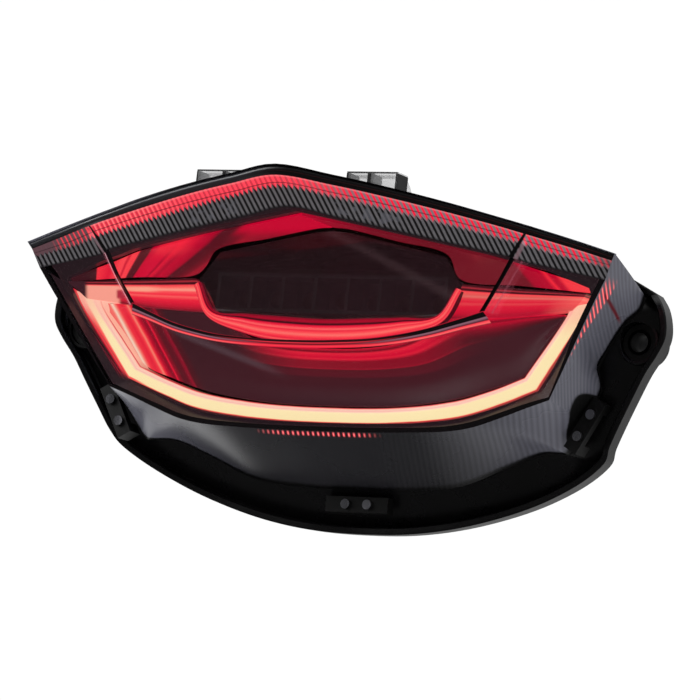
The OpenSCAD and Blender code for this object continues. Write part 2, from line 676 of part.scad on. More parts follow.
outer_lens();
lens_tabs();
lens_seal();
rear_housing();
inner_bezel();
top_light_strip();
running_light_guide();
brake_light_guide();
upper_reflector_left();
upper_reflector_right();
wing_reflector_left();
wing_reflector_right();
lower_reflector();
brake_window();
brake_reflector();
brake_led_board();
brake_leds();
side_led_board_left();
side_led_board_right();
bottom_led_board();
running_leds();
driver_board();
driver_components();
board_screws();
lens_clip_left();
lens_clip_right();
lens_clip_bottom();
clip_rivets();
ear_grommets();
ear_collars();
connector_socket();
connector_pins();
vent_cap();
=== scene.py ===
import math
import bpy
import bmesh
from mathutils import Matrix, Vector


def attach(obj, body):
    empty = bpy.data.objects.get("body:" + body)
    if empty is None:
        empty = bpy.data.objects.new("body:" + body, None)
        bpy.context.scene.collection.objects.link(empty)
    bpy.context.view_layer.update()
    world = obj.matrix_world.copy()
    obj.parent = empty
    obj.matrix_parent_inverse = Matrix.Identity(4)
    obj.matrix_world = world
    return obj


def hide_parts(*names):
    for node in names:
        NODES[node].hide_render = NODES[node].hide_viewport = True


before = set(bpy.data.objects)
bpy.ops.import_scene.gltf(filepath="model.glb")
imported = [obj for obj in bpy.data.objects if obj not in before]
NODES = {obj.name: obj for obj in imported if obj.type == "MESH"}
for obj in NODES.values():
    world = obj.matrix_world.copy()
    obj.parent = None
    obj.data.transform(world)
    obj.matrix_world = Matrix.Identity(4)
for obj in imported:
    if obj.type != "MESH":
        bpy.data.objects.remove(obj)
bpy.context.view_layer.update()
scene = bpy.context.scene

MM = 0.001


def new_object(name, data):
    ob = bpy.data.objects.new(name, data)
    scene.collection.objects.link(ob)
    return ob


# ---- helpers for colours and nodes
def lin(c):
    """Linear value of a colour channel from 0 to 255."""
    c = c / 255
    return c / 12.92 if c <= 0.04045 else ((c + 0.055) / 1.055) ** 2.4


def rgb(r, g, b):
    return (lin(r), lin(g), lin(b), 1)


def put(nt, kind, **kw):
    """New node of a kind, with its settings by name."""
    n = nt.nodes.new("ShaderNode" + kind)
    for k, v in kw.items():
        setattr(n, k, v)
    return n


def wire(nt, socket, value):
    """Link another socket into a socket, or set a constant; three numbers are a colour from 0 to 255."""
    if isinstance(value, bpy.types.NodeSocket):
        nt.links.new(value, socket)
    else:
        socket.default_value = rgb(*value) if isinstance(value, tuple) and len(value) == 3 else value


def calc(nt, op, a, b=0.0):
    n = put(nt, "Math", operation=op)
    wire(nt, n.inputs[0], a)
    wire(nt, n.inputs[1], b)
    return n.outputs[0]


def add(nt, a, b):
    return calc(nt, "ADD", a, b)


def sub(nt, a, b):
    return calc(nt, "SUBTRACT", a, b)


def over(nt, a, b):
    return calc(nt, "DIVIDE", a, b)


def most(nt, a, b):
    return calc(nt, "MAXIMUM", a, b)


def mag(nt, a):
    return calc(nt, "ABSOLUTE", a)


def along(nt, v, off=0.0):
    """Distance in millimetres along v, in the row frame, plus off."""
    co = put(nt, "TexCoord")
    d = put(nt, "VectorMath", operation="DOT_PRODUCT")
    nt.links.new(co.outputs["Object"], d.inputs[0])
    d.inputs[1].default_value = [x * 1000 for x in v]
    return add(nt, d.outputs["Value"], off)


def uv(nt):
    """The two numbers that place a point on its patch."""
    m = put(nt, "UVMap", uv_map="pattern")
    s = put(nt, "SeparateXYZ")
    nt.links.new(m.outputs[0], s.inputs[0])
    return s.outputs[0], s.outputs[1]


def step(nt, x, a, b, lo=0.0, hi=1.0):
    """From lo where x is a to hi where x is b, eased."""
    n = put(nt, "MapRange", interpolation_type="SMOOTHSTEP")
    wire(nt, n.inputs["Value"], x)
    wire(nt, n.inputs["From Min"], a)
    wire(nt, n.inputs["From Max"], b)
    n.inputs["To Min"].default_value = lo
    n.inputs["To Max"].default_value = hi
    return n.outputs[0]


def band(nt, x, a, b, soft):
    """1 where x is between a and b, with soft ends."""
    if isinstance(b, bpy.types.NodeSocket):
        ends = sub(nt, b, soft), add(nt, b, soft)
    else:
        ends = b - soft, b + soft
    return times(nt, step(nt, x, a - soft, a + soft), step(nt, x, *ends, 1, 0))


def times(nt, *vals):
    out = vals[0]
    for v in vals[1:]:
        out = calc(nt, "MULTIPLY", out, v)
    return out


def blend(nt, f, a, b):
    """Colour a where f is 0, b where it is 1."""
    n = put(nt, "Mix", data_type="RGBA")
    wire(nt, n.inputs[0], f)
    wire(nt, n.inputs[6], a)
    wire(nt, n.inputs[7], b)
    return n.outputs[2]


def ramp(nt, f, stops):
    """Colour ramp of f; each stop is a position and a colour from 0 to 255."""
    n = put(nt, "ValToRGB")
    e = n.color_ramp.elements
    while len(e) < len(stops):
        e.new(0.5)
    for el, (p, *c) in zip(e, stops):
        el.position = p
        el.color = rgb(*c)
    wire(nt, n.inputs[0], f)
    return n.outputs[0]


def grain(nt, scale, detail=2.0, rough=0.5, stretch=(1, 1, 1)):
    """Noise from 0 to 1; scale is in cycles per metre of the row frame."""
    co = put(nt, "TexCoord")
    m = put(nt, "Mapping")
    m.inputs["Scale"].default_value = stretch
    nt.links.new(co.outputs["Object"], m.inputs[0])
    n = put(nt, "TexNoise")
    n.inputs["Scale"].default_value = scale
    n.inputs["Detail"].default_value = detail
    n.inputs["Roughness"].default_value = rough
    nt.links.new(m.outputs[0], n.inputs["Vector"])
    return n.outputs[0]


def wobble(nt, amount, scale, detail):
    """Noise about zero, for edges that aren't quite straight."""
    return times(nt, sub(nt, grain(nt, scale, detail), 0.5), amount)


def relief(p, height, depth):
    """Bump of a height from 0 to 1, depth millimetres deep."""
    nt = p.id_data
    b = put(nt, "Bump")
    b.inputs["Strength"].default_value = 1
    b.inputs["Distance"].default_value = depth * MM
    wire(nt, b.inputs["Height"], height)
    nt.links.new(b.outputs[0], p.inputs["Normal"])


def material(name, base, rough, **kw):
    """New material, its nodes and its shader; other inputs of the shader are given by name."""
    m = bpy.data.materials.new(name)
    m.use_nodes = True
    nt = m.node_tree
    p = nt.nodes["Principled BSDF"]
    tint(p, base)
    p.inputs["Roughness"].default_value = rough
    for k, v in kw.items():
        p.inputs[k.replace("_", " ")].default_value = v
    return m, nt, p


def tint(p, colour):
    wire(p.id_data, p.inputs["Base Color"], colour)


def emit(p, colour, strength):
    wire(p.id_data, p.inputs["Emission Color"], colour)
    wire(p.id_data, p.inputs["Emission Strength"], strength)


def glow(p, colour, strength):
    """Light colour of a lit piece, with a darker body colour of the same pattern."""
    emit(p, colour, strength)
    tint(p, blend(p.id_data, 0.06, (0.01, 0.004, 0.005, 1), colour))


# ---- camera, light, floor
AZ, EL, ROLL = math.radians(30), math.radians(-8), math.radians(6.2)
DISTANCE, LENS, SENSOR = 2, 366, 36
AIM, SHIFT_X, SHIFT_Y = Vector((0, 5, -2)), 4.22, 1.41
back = Vector((math.sin(AZ) * math.cos(EL), -math.cos(AZ) * math.cos(EL), math.sin(EL)))
right = Vector((math.cos(AZ), math.sin(AZ), 0))
up = back.cross(right)
cam_x = math.cos(ROLL) * right + math.sin(ROLL) * up
cam_y = -math.sin(ROLL) * right + math.cos(ROLL) * up
aim = AIM * MM - SHIFT_X * MM * cam_x - SHIFT_Y * MM * cam_y
cam_data = bpy.data.cameras.new("camera")
cam_data.lens = LENS
cam_data.sensor_width = SENSOR
cam = new_object("camera", cam_data)
eye = aim + DISTANCE * back
cam.matrix_world = Matrix([*zip(cam_x, cam_y, back, eye), (0, 0, 0, 1)])
scene.camera = cam
scene.view_settings.view_transform = "Standard"


world = bpy.data.worlds.new("studio")
scene.world = world
world.use_nodes = True
wt = world.node_tree
wt.nodes.clear()
w_out = put(wt, "OutputWorld")
w_mix = put(wt, "MixShader")
w_path = put(wt, "LightPath")
w_white = put(wt, "Background")
w_soft = put(wt, "Background")
w_co = put(wt, "TexCoord")
WHITE = 1.02
w_white.inputs[0].default_value = (1, 1, 1, 1)
w_white.inputs[1].default_value = WHITE


def lobe(direction, start, full, radiance):
    """Soft studio light from a direction; start and full are cosines."""
    d = put(wt, "VectorMath", operation="DOT_PRODUCT")
    d.inputs[1].default_value = Vector(direction).normalized()
    wire(wt, d.inputs[0], w_co.outputs["Generated"])
    return step(wt, d.outputs["Value"], start, full, 0, radiance)


total = 0.0
for direction, start, full, radiance in (
        ((0.25, 0.92, -0.25), 0.45, 0.9, 0.55),
        ((-0.68, 0.64, -0.36), 0.94, 0.99, 1.4),
        ((0.1, 0.5, -0.86), 0.85, 0.95, 0.3),
        ((-0.78, -0.22, 0.58), 0.74, 0.985, 2.4),
        ((0.3, 0.1, 1), 0.3, 0.95, 0.8),
        ((0, 0, 1), -2, -1.99, 0.07)):
    total = add(wt, total, lobe(direction, start, full, radiance))
wire(wt, w_soft.inputs[1], total)
wire(wt, w_mix.inputs[0], w_path.outputs["Is Camera Ray"])
wire(wt, w_mix.inputs[1], w_soft.outputs[0])
wire(wt, w_mix.inputs[2], w_white.outputs[0])
wire(wt, w_out.inputs[0], w_mix.outputs[0])


def area(name, at, size, power):
    """Square lamp at a place, in metres, which faces the light and isn't seen by the camera."""
    data = bpy.data.lights.new(name, "AREA")
    data.shape = "SQUARE"
    data.size = size
    data.energy = power
    ob = new_object(name, data)
    ob.location = at
    ob.visible_camera = False
    ob.rotation_mode = "QUATERNION"
    ob.rotation_quaternion = (-Vector(at)).to_track_quat("-Z", "Y")


area("softbox_left", (-1.05, -0.36, 0.8), 0.9, 7.5)
area("softbox_top", (0.5, 0.5, 1.3), 0.8, 4)
area("softbox_right", (1.4, -0.2, -0.1), 0.6, 1.5)


# ---- sizes and tables, in millimetres
# Each row runs from the centre to the right side, and is mirrored for the left.
TIP, LOW_TIP, BOTTOM = 7, 14, 21  # places on the outline: side tip, lower tip, bottom centre
CENTRE_Z, HALF_W, HALF_H = -3, 84, 42  # the outline's centre height and its half sizes, for insets
REAR_Z, BACK_PLANE, TUB_WALL, SEAL_T = -4, 45, 2.4, 1.4
WALL, INNER_SCALE = 2, 1 - 2 / 80  # lens wall, and width of its inside face over the outside's
FLUTE_ALONG, FLUTE_OFFSET, FLUTE_PITCH, FLUTE_DEPTH = (1, 0.466, 0.714), 1000, 1.7, 0.22
SKIRT_ALONG, SKIRT_OFFSET, LOW_PITCH, SIDE_PITCH = (0.92, 0.244, -0.109), 3000, 1.5, 0.65
CLIP_X, CLIP_Z = 75.6, -23.8  # middle of a side clip
POCKET_RUN, POCKET_RISE = 8.8, 4.4  # half sizes of the painted shade of the pocket round it
POCKET_COS, POCKET_SIN = 0.485, 0.875  # slant of the pocket
CREASE_X, CREASE_LEAN, CREASE_MORE = 69.2, 4.2, 1.5  # crease of the band; it leans more on the right
CREASE_TOP, CREASE_GROWS, CREASE_GAP = 0.7, 0.9, 1.1  # its black line's width, growth and light line
TAB_TOP, TAB_FRONT, TAB_REAR = 38.4, -43.1, -36.9
EAR_X, BOSS_R, BORE_R, NECK_R, NECK = 89, 6.3, 5.3, 4.4, (1.8, 6.4)
X_AXIS, Z_AXIS = (1, 0, 0), (0, 0, 1)
STREAK_X, STREAK_Z = (0.868, 0.484, 0.107), (-0.024, -0.174, 0.984)  # across and up in the photo
FACE = [
    [(0, -55, 38), (16, -51.5, 35.9), (32, -48, 33.3), (48, -43.5, 30.3), (62, -39, 27.3),
     (71, -36, 25.3), (83, -32.2, 22.4), (94, -29, 19.5)],
    [(0, -54.2, 35), (16, -50.7, 33.1), (31.5, -47.2, 30.6), (47, -42.7, 27.8),
     (61, -38.5, 25), (69, -36.2, 23.2), (81.5, -31.5, 20.4), (92.8, -28, 17.6)],
    [(0, -45.4, 27.7), (15, -43.3, 25.2), (30, -40.7, 22.7), (45, -37.4, 20.2),
     (58.5, -34.2, 18), (65, -32.7, 16.9), (68, -29.5, 16.2), (90.5, -26.4, 12.5)],
    [(0, -41.2, 10), (15, -40.2, 10), (29.5, -38.4, 10), (44, -35.9, 10),
     (55.5, -33.3, 10), (61, -32, 10), (63.8, -28.6, 9.4), (87, -24.6, 7)],
    [(0, -35.4, -7.7), (13, -35.2, -7.4), (26, -34.6, -6.3), (39, -33.4, -3.6),
     (49, -31.8, -0.2), (56, -30.4, 2.5), (59, -27.2, 2), (83.2, -22.3, 1)],
    [(0, -33.2, -9.6), (13, -33, -9.3), (26.5, -32.3, -8.2), (39.8, -31, -5.7),
     (50.5, -29.1, -2.4), (57.6, -27.5, -0.4), (60, -26.8, -0.8), (81.8, -21.4, -1.2)],
    [(0, -25, -20.5), (13, -24.7, -20.3), (26, -24, -19.6), (37.5, -23, -18),
     (47.5, -21.7, -15.2), (56, -20.6, -12.8), (63, -19.6, -11.8), (75.6, -17.3, -11)],
    [(0, -16, -30), (14, -15.6, -29.9), (28, -14.8, -29.4), (39, -14.1, -28.7),
     (47, -13.7, -27.3), (55, -13.6, -24.6), (63.5, -13.7, -21.4), (70.5, -14, -19)]]
FOOT = [(0, -38, 36.4), (16, -36.5, 34.2), (32, -33.5, 31.2), (48, -29, 27.8),
        (62, -24, 24.2), (70.5, -20.5, 21.8), (82, -13, 17.6), (92, -5, 12), (90.6, -4.6, 8),
        (86.6, -4, 5), (83.4, -3, 1.5), (80, -1.5, -3), (77.3, -0.5, -7.5),
        (78.6, 0.5, -13.5), (73.5, 2.5, -22), (70.5, 4, -28), (68, 5.5, -31),
        (59, 7.5, -30.8), (48, 8.7, -34.8), (33, 9.2, -40.6), (16, 9.3, -42.4),
        (0, 9.3, -42.6)]
BACK_Y = [1.3, 1.5, 1.4, 1, 1, 1.2, 1.2, 0.8]
BACK_Z = [-1, -0.3, 0, 0, 0.4, 0.4, 0.3, 0.7]
BOWL_TOP = [(0.3, -38.4, 26.7), (15, -36.4, 24.3), (30, -33.8, 21.9), (45, -30.6, 19.4),
            (58, -27.4, 17), (69.6, -23.2, 14.2), (83.6, -20.4, 10.6)]
BOWL_LOW = [(0.3, -19.8, 26.8), (6.2, -19.7, 26.3), (21, -19.6, 23.3), (36.5, -19.5, 20.2),
            (43, -19.6, 12.6), (62, -20.4, 11.4), (83, -20.2, 9.9)]
WING_TOP = [(42.9, -19.6, 11.7), (62, -20.4, 10.7), (82.3, -20.8, 9.7)]
WING_LOW = [(37.5, -17.4, 2.4), (57, -17.8, 3.4), (76.6, -18, 5.4)]
DISH_TOP = [(0, -16.6, -6.9), (14, -16.6, -6.3), (25, -16.6, -4.1), (37, -16.4, 2),
            (50, -16.2, 3.6), (62, -16, 4.3), (73.4, -15.4, 4.6)]
DISH_MID = [(0, -9, -14), (17, -9.2, -13.6), (32, -9.6, -11.6), (45, -10.6, -6.8),
            (56, -11.6, -4), (64.6, -13, 0.2), (72.9, -15.2, 3.4)]
DISH_LOW = [(0, -9.6, -21.8), (20, -10, -21.4), (38.4, -11.4, -19.3), (51.5, -11.8, -15.7),
            (60.7, -12.4, -12.2), (67.2, -14, -4), (72.4, -15.4, 2)]
SMILE_TOP = [(0, -19.6, 1), (14, -19.6, 1.5), (25, -19.6, 2), (35.6, -19.6, 2.7), (41, -19.8, 10.6)]
SMILE_MID = [(0, -22, -2.5), (14, -22, -2), (25, -21.6, -0.6), (36.6, -20.6, 2), (41.8, -20.2, 10.3)]
SMILE_LOW = [(0, -19.8, -6.1), (14, -19.8, -5.5), (25, -19.8, -3.6), (37.6, -19.6, 0.8), (43, -19.8, 9.6)]
GUIDE_OUT = [(0, -10.4, -26.8), (21, -11, -26.4), (41, -12, -24.4), (54, -12, -20.5),
             (65.7, -13, -16.2), (79, -17.4, 1.5), (83, -18, 7.6)]
GUIDE_IN = [(0, -10.4, -22.4), (20, -11, -22), (39, -12.4, -20), (52, -12.8, -16.4),
            (61.6, -13.4, -12.8), (73.2, -16.4, 2), (75.2, -16.6, 6.2)]


def mirrored(p):
    return Vector((-p[0], p[1], p[2]))


def smooth_line(pts, t, sharp=()):
    """Point at t on a smooth line through pts, where t is 0 at the first and 1 more at each next.

    Corners stay sharp at the indexes in sharp.
    """
    n = len(pts) - 1
    i = max(0, min(n - 1, int(math.floor(t))))
    f = t - i
    p1, p2 = Vector(pts[i]), Vector(pts[i + 1])
    p0 = Vector(pts[i - 1]) if i > 0 and i not in sharp else 2 * p1 - p2
    p3 = Vector(pts[i + 2]) if i + 2 <= n and i + 1 not in sharp else 2 * p2 - p1
    return 0.5 * ((2 * p1) + (p2 - p0) * f + (2 * p0 - 5 * p1 + 4 * p2 - p3) * f * f
                  + (3 * p1 - p0 - 3 * p2 + p3) * f * f * f)


def whole(half):
    """A half row, centre to side, as a whole row from left to right."""
    return [mirrored(p) for p in half[:0:-1]] + [Vector(p) for p in half]


ROWS = [whole(r) for r in FACE]
SHARP = [()] * 2 + [(1, 2, 12, 13)] * 4 + [()] * 2


def row(j, s):
    """Point on face row j at s, from -7 at the left tip to 7 at the right tip."""
    return smooth_line(ROWS[j], s + TIP, SHARP[j])


def face(t, s):
    """Point on the lens face, t from 0 at the top edge to 7 at the bottom edge."""
    for a, b in ((0, 1), (1, 2), (2, 4), (4, 5), (5, 7)):
        if t <= b or b == 7:
            return smooth_line([row(j, s) for j in range(a, b + 1)], t - a)


def to_object(bm, name, *mats):
    """Scene object of a mesh, with its materials."""
    me = bpy.data.meshes.new(name)
    bm.to_mesh(me)
    bm.free()
    ob = new_object(name, me)
    for m in mats:
        me.materials.append(m)
    return ob


def build(name, patches, mats, weld=0.02):
    """One mesh from patches (f, us, vs, material index, uv function), each a grid f(u, v)."""
    bm = bmesh.new()
    layer = bm.loops.layers.uv.new("pattern")
    for f, us, vs, mat, *uvf in patches:
        grid = [[bm.verts.new(Vector(f(u, v)) * MM) for v in vs] for u in us]
        for i in range(len(us) - 1):
            for j in range(len(vs) - 1):
                quad = (grid[i][j], grid[i + 1][j], grid[i + 1][j + 1], grid[i][j + 1])
                at = ((us[i], vs[j]), (us[i + 1], vs[j]), (us[i + 1], vs[j + 1]), (us[i], vs[j + 1]))
                q = bm.faces.new(quad)
                q.smooth = True
                q.material_index = mat
                for loop, (u, v) in zip(q.loops, at):
                    loop[layer].uv = uvf[0](u, v) if uvf else (u, v)
    if weld:
        bmesh.ops.remove_doubles(bm, verts=bm.verts, dist=weld * MM)
    bmesh.ops.recalc_face_normals(bm, faces=bm.faces)
    return to_object(bm, name, *mats)


def steps(a, b, n):
    """n equal steps from a to b, as n + 1 values."""
    return [a + (b - a) * i / n for i in range(n + 1)]


def finish_piece(ob, slot, *nodes):
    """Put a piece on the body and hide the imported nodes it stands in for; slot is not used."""
    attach(ob, "root")
    if nodes:
        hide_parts(*nodes)
    return ob


def sharp_edges(ob, angle=35):
    """Keep the edges sharp where the faces turn by more than angle."""
    bm = bmesh.new()
    bm.from_mesh(ob.data)
    for e in bm.edges:
        if len(e.link_faces) == 2 and e.calc_face_angle(0) > math.radians(angle):
            e.smooth = False
    bm.to_mesh(ob.data)
    bm.free()


def smooth_faces(ob, angle):
    for poly in ob.data.polygons:
        poly.use_smooth = True
    sharp_edges(ob, angle)


def slab(name, rows_front, back_by, mat, nu, nv, sharp=()):
    """Closed slab whose front goes smoothly through rows of points; its back is moved by back_by."""
    m = len(rows_front) - 1
    n = len(rows_front[0]) - 1
    by = Vector(back_by)

    def front(u, v):
        return smooth_line([smooth_line(r, u, sharp) for r in rows_front], v)

    us, vs = steps(0, n, nu), steps(0, m, nv)

    def place(u, v):
        return u / n, v / m

    patches = [(front, us, vs, 0, place), (lambda u, v: front(u, v) + by, us, vs, 0, place)]
    for v0 in (0, m):
        patches.append((lambda u, w, v0=v0: front(u, v0) + by * w, us, (0, 1), 0,
                        lambda u, w, v0=v0: place(u, v0)))
    for u0 in (0, n):
        patches.append((lambda w, v, u0=u0: front(u0, v) + by * w, (0, 1), vs, 0,
                        lambda w, v, u0=u0: place(u0, v)))
    ob = build(name, patches, [mat])
    sharp_edges(ob)
    return ob


# ---- materials of the lens
def phase(nt, direction, offset, pitch):
    """Place within one flute, from 0 to 1."""
    return calc(nt, "FRACT", over(nt, along(nt, direction, offset), pitch))


def lens_pane():
    """Clear smoked face, with a few dull specks."""
    m, nt, p = material("smoked_pane", (0.012, 0.006, 0.008, 1), 0.03, Alpha=0.12, IOR=1.5)
    speck = step(nt, grain(nt, 900, 3, 0.7), 0.70, 0.78)
    wire(nt, p.inputs["Roughness"], add(nt, 0.03, times(nt, speck, 0.3)))
    relief(p, grain(nt, 60, 2), 0.03)
    return m


def lens_gloss():
    """Opaque smoked plastic of the lens foot."""
    m, nt, p = material("smoked_gloss", (22, 17, 20), 0.12)
    g = grain(nt, 35, 3)
    tint(p, blend(nt, g, (16, 11, 14), (34, 28, 33)))
    wire(nt, p.inputs["Roughness"], step(nt, grain(nt, 120, 3), 0.2, 0.8, 0.2, 0.3))
    relief(p, grain(nt, 80, 2), 0.02)
    return m


def lip_with_painted_sheen():
    """Lip along the top edge: smoke grey with a dark foot on the left, where a painted reflection lightens
    it, and nearly black on the right.
    """
    m, nt, p = material("smoked_lip_painted_sheen", (30, 26, 30), 0.28)
    u = uv(nt)[0]
    x = along(nt, X_AXIS)
    # painted reflection: grey on the left half, dark on the right half
    left = ramp(nt, u, [
        (0, 40, 42, 47), (0.1, 66, 69, 76), (0.42, 80, 83, 90), (0.5, 52, 53, 58), (0.75, 44, 43, 48),
        (0.92, 26, 23, 27), (1, 14, 10, 13)])
    right = ramp(nt, u, [
        (0, 14, 12, 14), (0.42, 16, 13, 15), (1, 11, 8, 10)])
    side = step(nt, add(nt, x, times(nt, grain(nt, 40, 2), 8)), -14, 8)
    c = blend(nt, side, left, right)
    tint(p, blend(nt, times(nt, grain(nt, 160, 3), 0.2), c, (30, 30, 33)))
    relief(p, grain(nt, 80, 2), 0.02)
    return m


def lens_skirt():
    """Slanted skirt of the lens: fine flutes, with light leaking along them beside the face; painted
    reflection lightens its sides, and painted shade darkens the flutes, the clip pockets and the foot.
    """
    m, nt, p = material("smoked_skirt", (40, 38, 44), 0.22)
    u, v = uv(nt)
    x, z = along(nt, X_AXIS), along(nt, Z_AXIS)
    side_face = band(nt, mag(nt, u), TIP, LOW_TIP, 0.02)
    low_ph = phase(nt, SKIRT_ALONG, SKIRT_OFFSET, LOW_PITCH)
    side_ph = phase(nt, SKIRT_ALONG, SKIRT_OFFSET, SIDE_PITCH)
    ph = add(nt, times(nt, side_face, side_ph), times(nt, sub(nt, 1.0, side_face), low_ph))
    wave = mag(nt, sub(nt, ph, 0.5))
    cloud = grain(nt, 30, 3)
    body = blend(nt, cloud, (28, 27, 31), (38, 37, 43))
    # painted reflection: lighter slate towards both sides
    body = blend(nt, step(nt, mag(nt, x), 26, 78), body, blend(nt, cloud, (108, 108, 120), (120, 120, 133)))
    # painted shade along the flutes, except on the left part
    fluted = step(nt, x, -30, 20)
    body = blend(nt, times(nt, wave, fluted, 0.7), body, (16, 16, 19))
    # painted shade: a dark pocket round each side clip, drawn on the skirt and made dull
    dx, dz = sub(nt, mag(nt, x), CLIP_X), sub(nt, z, CLIP_Z)
    run = add(nt, times(nt, dx, POCKET_COS), times(nt, dz, POCKET_SIN))
    rise = add(nt, times(nt, dx, -POCKET_SIN), times(nt, dz, POCKET_COS))
    arch = add(nt, calc(nt, "POWER", mag(nt, over(nt, run, POCKET_RUN)), 4),
               calc(nt, "POWER", mag(nt, over(nt, rise, POCKET_RISE)), 4))
    pocket_shade = step(nt, arch, 0.85, 1.1, 1, 0)
    body = blend(nt, pocket_shade, body, (5, 4, 5))
    # painted shade along the foot of the skirt
    body = blend(nt, step(nt, v, 0.9, 0.97), body, (8, 7, 9))
    # light leaking along the flutes, and one dark red streak of painted reflection
    stroke = band(nt, ph, 0.3, 0.75, 0.1)
    reach = step(nt, z, -9, 11, 0.03, 0.3)
    side = times(nt, stroke, band(nt, z, -8, 12, 2), step(nt, x, 60, 70), band(nt, v, 0.03, reach, 0.02))
    low = times(nt, stroke, band(nt, x, -17, 15, 5), step(nt, z, -24, -27), band(nt, v, 0.02, 0.075, 0.02))
    streak = times(nt, band(nt, u, 9.3, 9.5, 0.08), band(nt, v, 0.12, 0.85, 0.1))
    lit = most(nt, side, low)
    base = blend(nt, times(nt, streak, 0.95), body, (110, 10, 26))
    tint(p, blend(nt, lit, base, (90, 20, 30)))
    core = band(nt, ph, 0.42, 0.6, 0.06)
    emit(p, blend(nt, core, (240, 24, 62), (255, 150, 140)), lit)
    relief(p, times(nt, wave, fluted), 0.04)
    wire(nt, p.inputs["Roughness"], most(nt, step(nt, cloud, 0.2, 0.8, 0.24, 0.32), times(nt, pocket_shade, 0.75)))
    return m


def crease_masks(nt, v):
    """Masks of the crease's black line of painted shade and light line of painted highlight, as it runs down
    through the fluted band; the fold itself is not modelled.
    """
    across = along(nt, X_AXIS)
    x, right_side = mag(nt, across), step(nt, across, -1, 1)
    lean = add(nt, CREASE_LEAN, times(nt, right_side, CREASE_MORE))
    d = sub(nt, x, sub(nt, CREASE_X, times(nt, v, lean)))
    wide = add(nt, CREASE_TOP, times(nt, v, sub(nt, CREASE_GROWS, times(nt, right_side, 0.3))))
    black = band(nt, d, 0, wide, 0.15)
    far = add(nt, wide, CREASE_GAP)
    light = times(nt, step(nt, sub(nt, d, wide), 0, 0.3), step(nt, sub(nt, d, far), -0.3, 0.2, 1, 0))
    return black, light


def lens_band():
    """Fluted band under the lip: its upper part glows red with a toothed lower edge; below it, painted
    reflection and painted shade show the flutes in grey and near black.
    """
    m, nt, p = material("fluted_band", (90, 88, 92), 0.3)
    v = uv(nt)[1]
    x = along(nt, X_AXIS)
    ph = phase(nt, FLUTE_ALONG, FLUTE_OFFSET, FLUTE_PITCH)
    tooth = mag(nt, sub(nt, ph, 0.5))
    # painted reflection on the grey flutes and painted shade on their dark flanks; darker along the band's
    # foot
    dark = band(nt, ph, 0.5, 0.98, 0.1)
    grey = blend(nt, dark, (116, 113, 118), (22, 18, 22))
    grey = blend(nt, step(nt, v, 0.9, 1), grey, (30, 26, 30))
    middle = step(nt, mag(nt, add(nt, x, 3)), 4, 45, 0.27, 0.34)
    edge = add(nt, middle, times(nt, tooth, 0.3))
    lit = step(nt, sub(nt, v, edge), -0.04, 0.02, 1, 0)
    warm = blend(nt, dark, (255, 66, 84), (206, 48, 66))
    # painted highlight: pale pink on some flutes on the left
    warm = blend(nt, times(nt, band(nt, ph, 0.1, 0.3, 0.08), step(nt, x, -25, -60)), warm, (255, 128, 124))
    cool = blend(nt, band(nt, ph, 0.16, 0.62, 0.08), (128, 104, 110), (240, 14, 56))
    red = blend(nt, step(nt, x, -5, 30), warm, cool)
    # painted highlight along the top edge
    red = blend(nt, times(nt, band(nt, v, 0.0, 0.05, 0.02), 0.35), red, (255, 150, 150))
    end = blend(nt, band(nt, ph, 0.1, 0.4, 0.1), (96, 66, 72), (236, 60, 74))
    red = blend(nt, step(nt, x, -70, -71), red, blend(nt, step(nt, x, -80, -86), end, (88, 62, 68)))
    f = times(nt, lit, step(nt, x, 84, 92, 1, 0.4))
    # painted reflection: light grey patches over two stretches of the flutes
    sheen_patch = times(nt, band(nt, v, 0.52, 0.86, 0.04), step(nt, grain(nt, 330, 2, 0.6), 0.48, 0.6),
                 most(nt, band(nt, x, -33, -17, 1.5), band(nt, x, 15, 34, 1.5)))
    grey = blend(nt, times(nt, sheen_patch, 0.6), grey, (112, 112, 122))
    shade = times(nt, band(nt, v, 0.225, 0.255, 0.012), 0.7)
    base = blend(nt, f, grey, blend(nt, 0.15, (8, 3, 5), red))
    base = blend(nt, shade, base, (30, 12, 18))
    # the crease: a line of painted shade and one of painted highlight
    black, light = crease_masks(nt, v)
    light = times(nt, light, step(nt, v, 0.05, 0.3))
    base = blend(nt, black, base, (8, 4, 6))
    tint(p, blend(nt, times(nt, light, 0.8), base, (150, 118, 128)))
    keep = times(nt, sub(nt, 1.0, shade), sub(nt, 1.0, black))
    emit(p, red, times(nt, f, keep))
    return m


def plain_line(name, c, rough, **kw):
    """Plain dark plastic of a colour from 0 to 255, slightly mottled."""
    m, nt, p = material(name, c, rough, **kw)
    g = grain(nt, 150, 3)
    tint(p, blend(nt, g, tuple(x * 0.8 for x in c), tuple(x * 1.2 for x in c)))
    relief(p, g, 0.02)
    return m


def step_wall():
    """Side wall of the raised bay: a black line of painted shade along the front edge, then a pink clear
    strip whose glow and light lines are painted light.
    """
    m, nt, p = material("bay_wall", (120, 70, 84), 0.1)
    v = uv(nt)[1]
    a = sub(nt, mag(nt, v), 5.0)
    g = grain(nt, 90, 2, 0.5, (1, 1, 0.2))
    pink = blend(nt, g, (96, 34, 50), (176, 92, 108))
    right_side = step(nt, v, -1, 1)
    black = step(nt, add(nt, a, times(nt, right_side, 0.34)), 0.42, 0.5, 1, 0)
    line = most(nt, band(nt, a, 0.54, 0.68, 0.04), times(nt, right_side, band(nt, a, 0.26, 0.32, 0.03), 0.6))
    c = blend(nt, line, pink, blend(nt, right_side, (206, 160, 172), (150, 78, 94)))
    c = blend(nt, black, c, (6, 3, 5))
    tint(p, c)
    emit(p, c, 0.55)
    clear = times(nt, add(nt, 0.3, times(nt, line, 0.5)), step(nt, right_side, 0, 1, 1, 0.45))
    wire(nt, p.inputs["Alpha"], most(nt, black, clear))
    return m


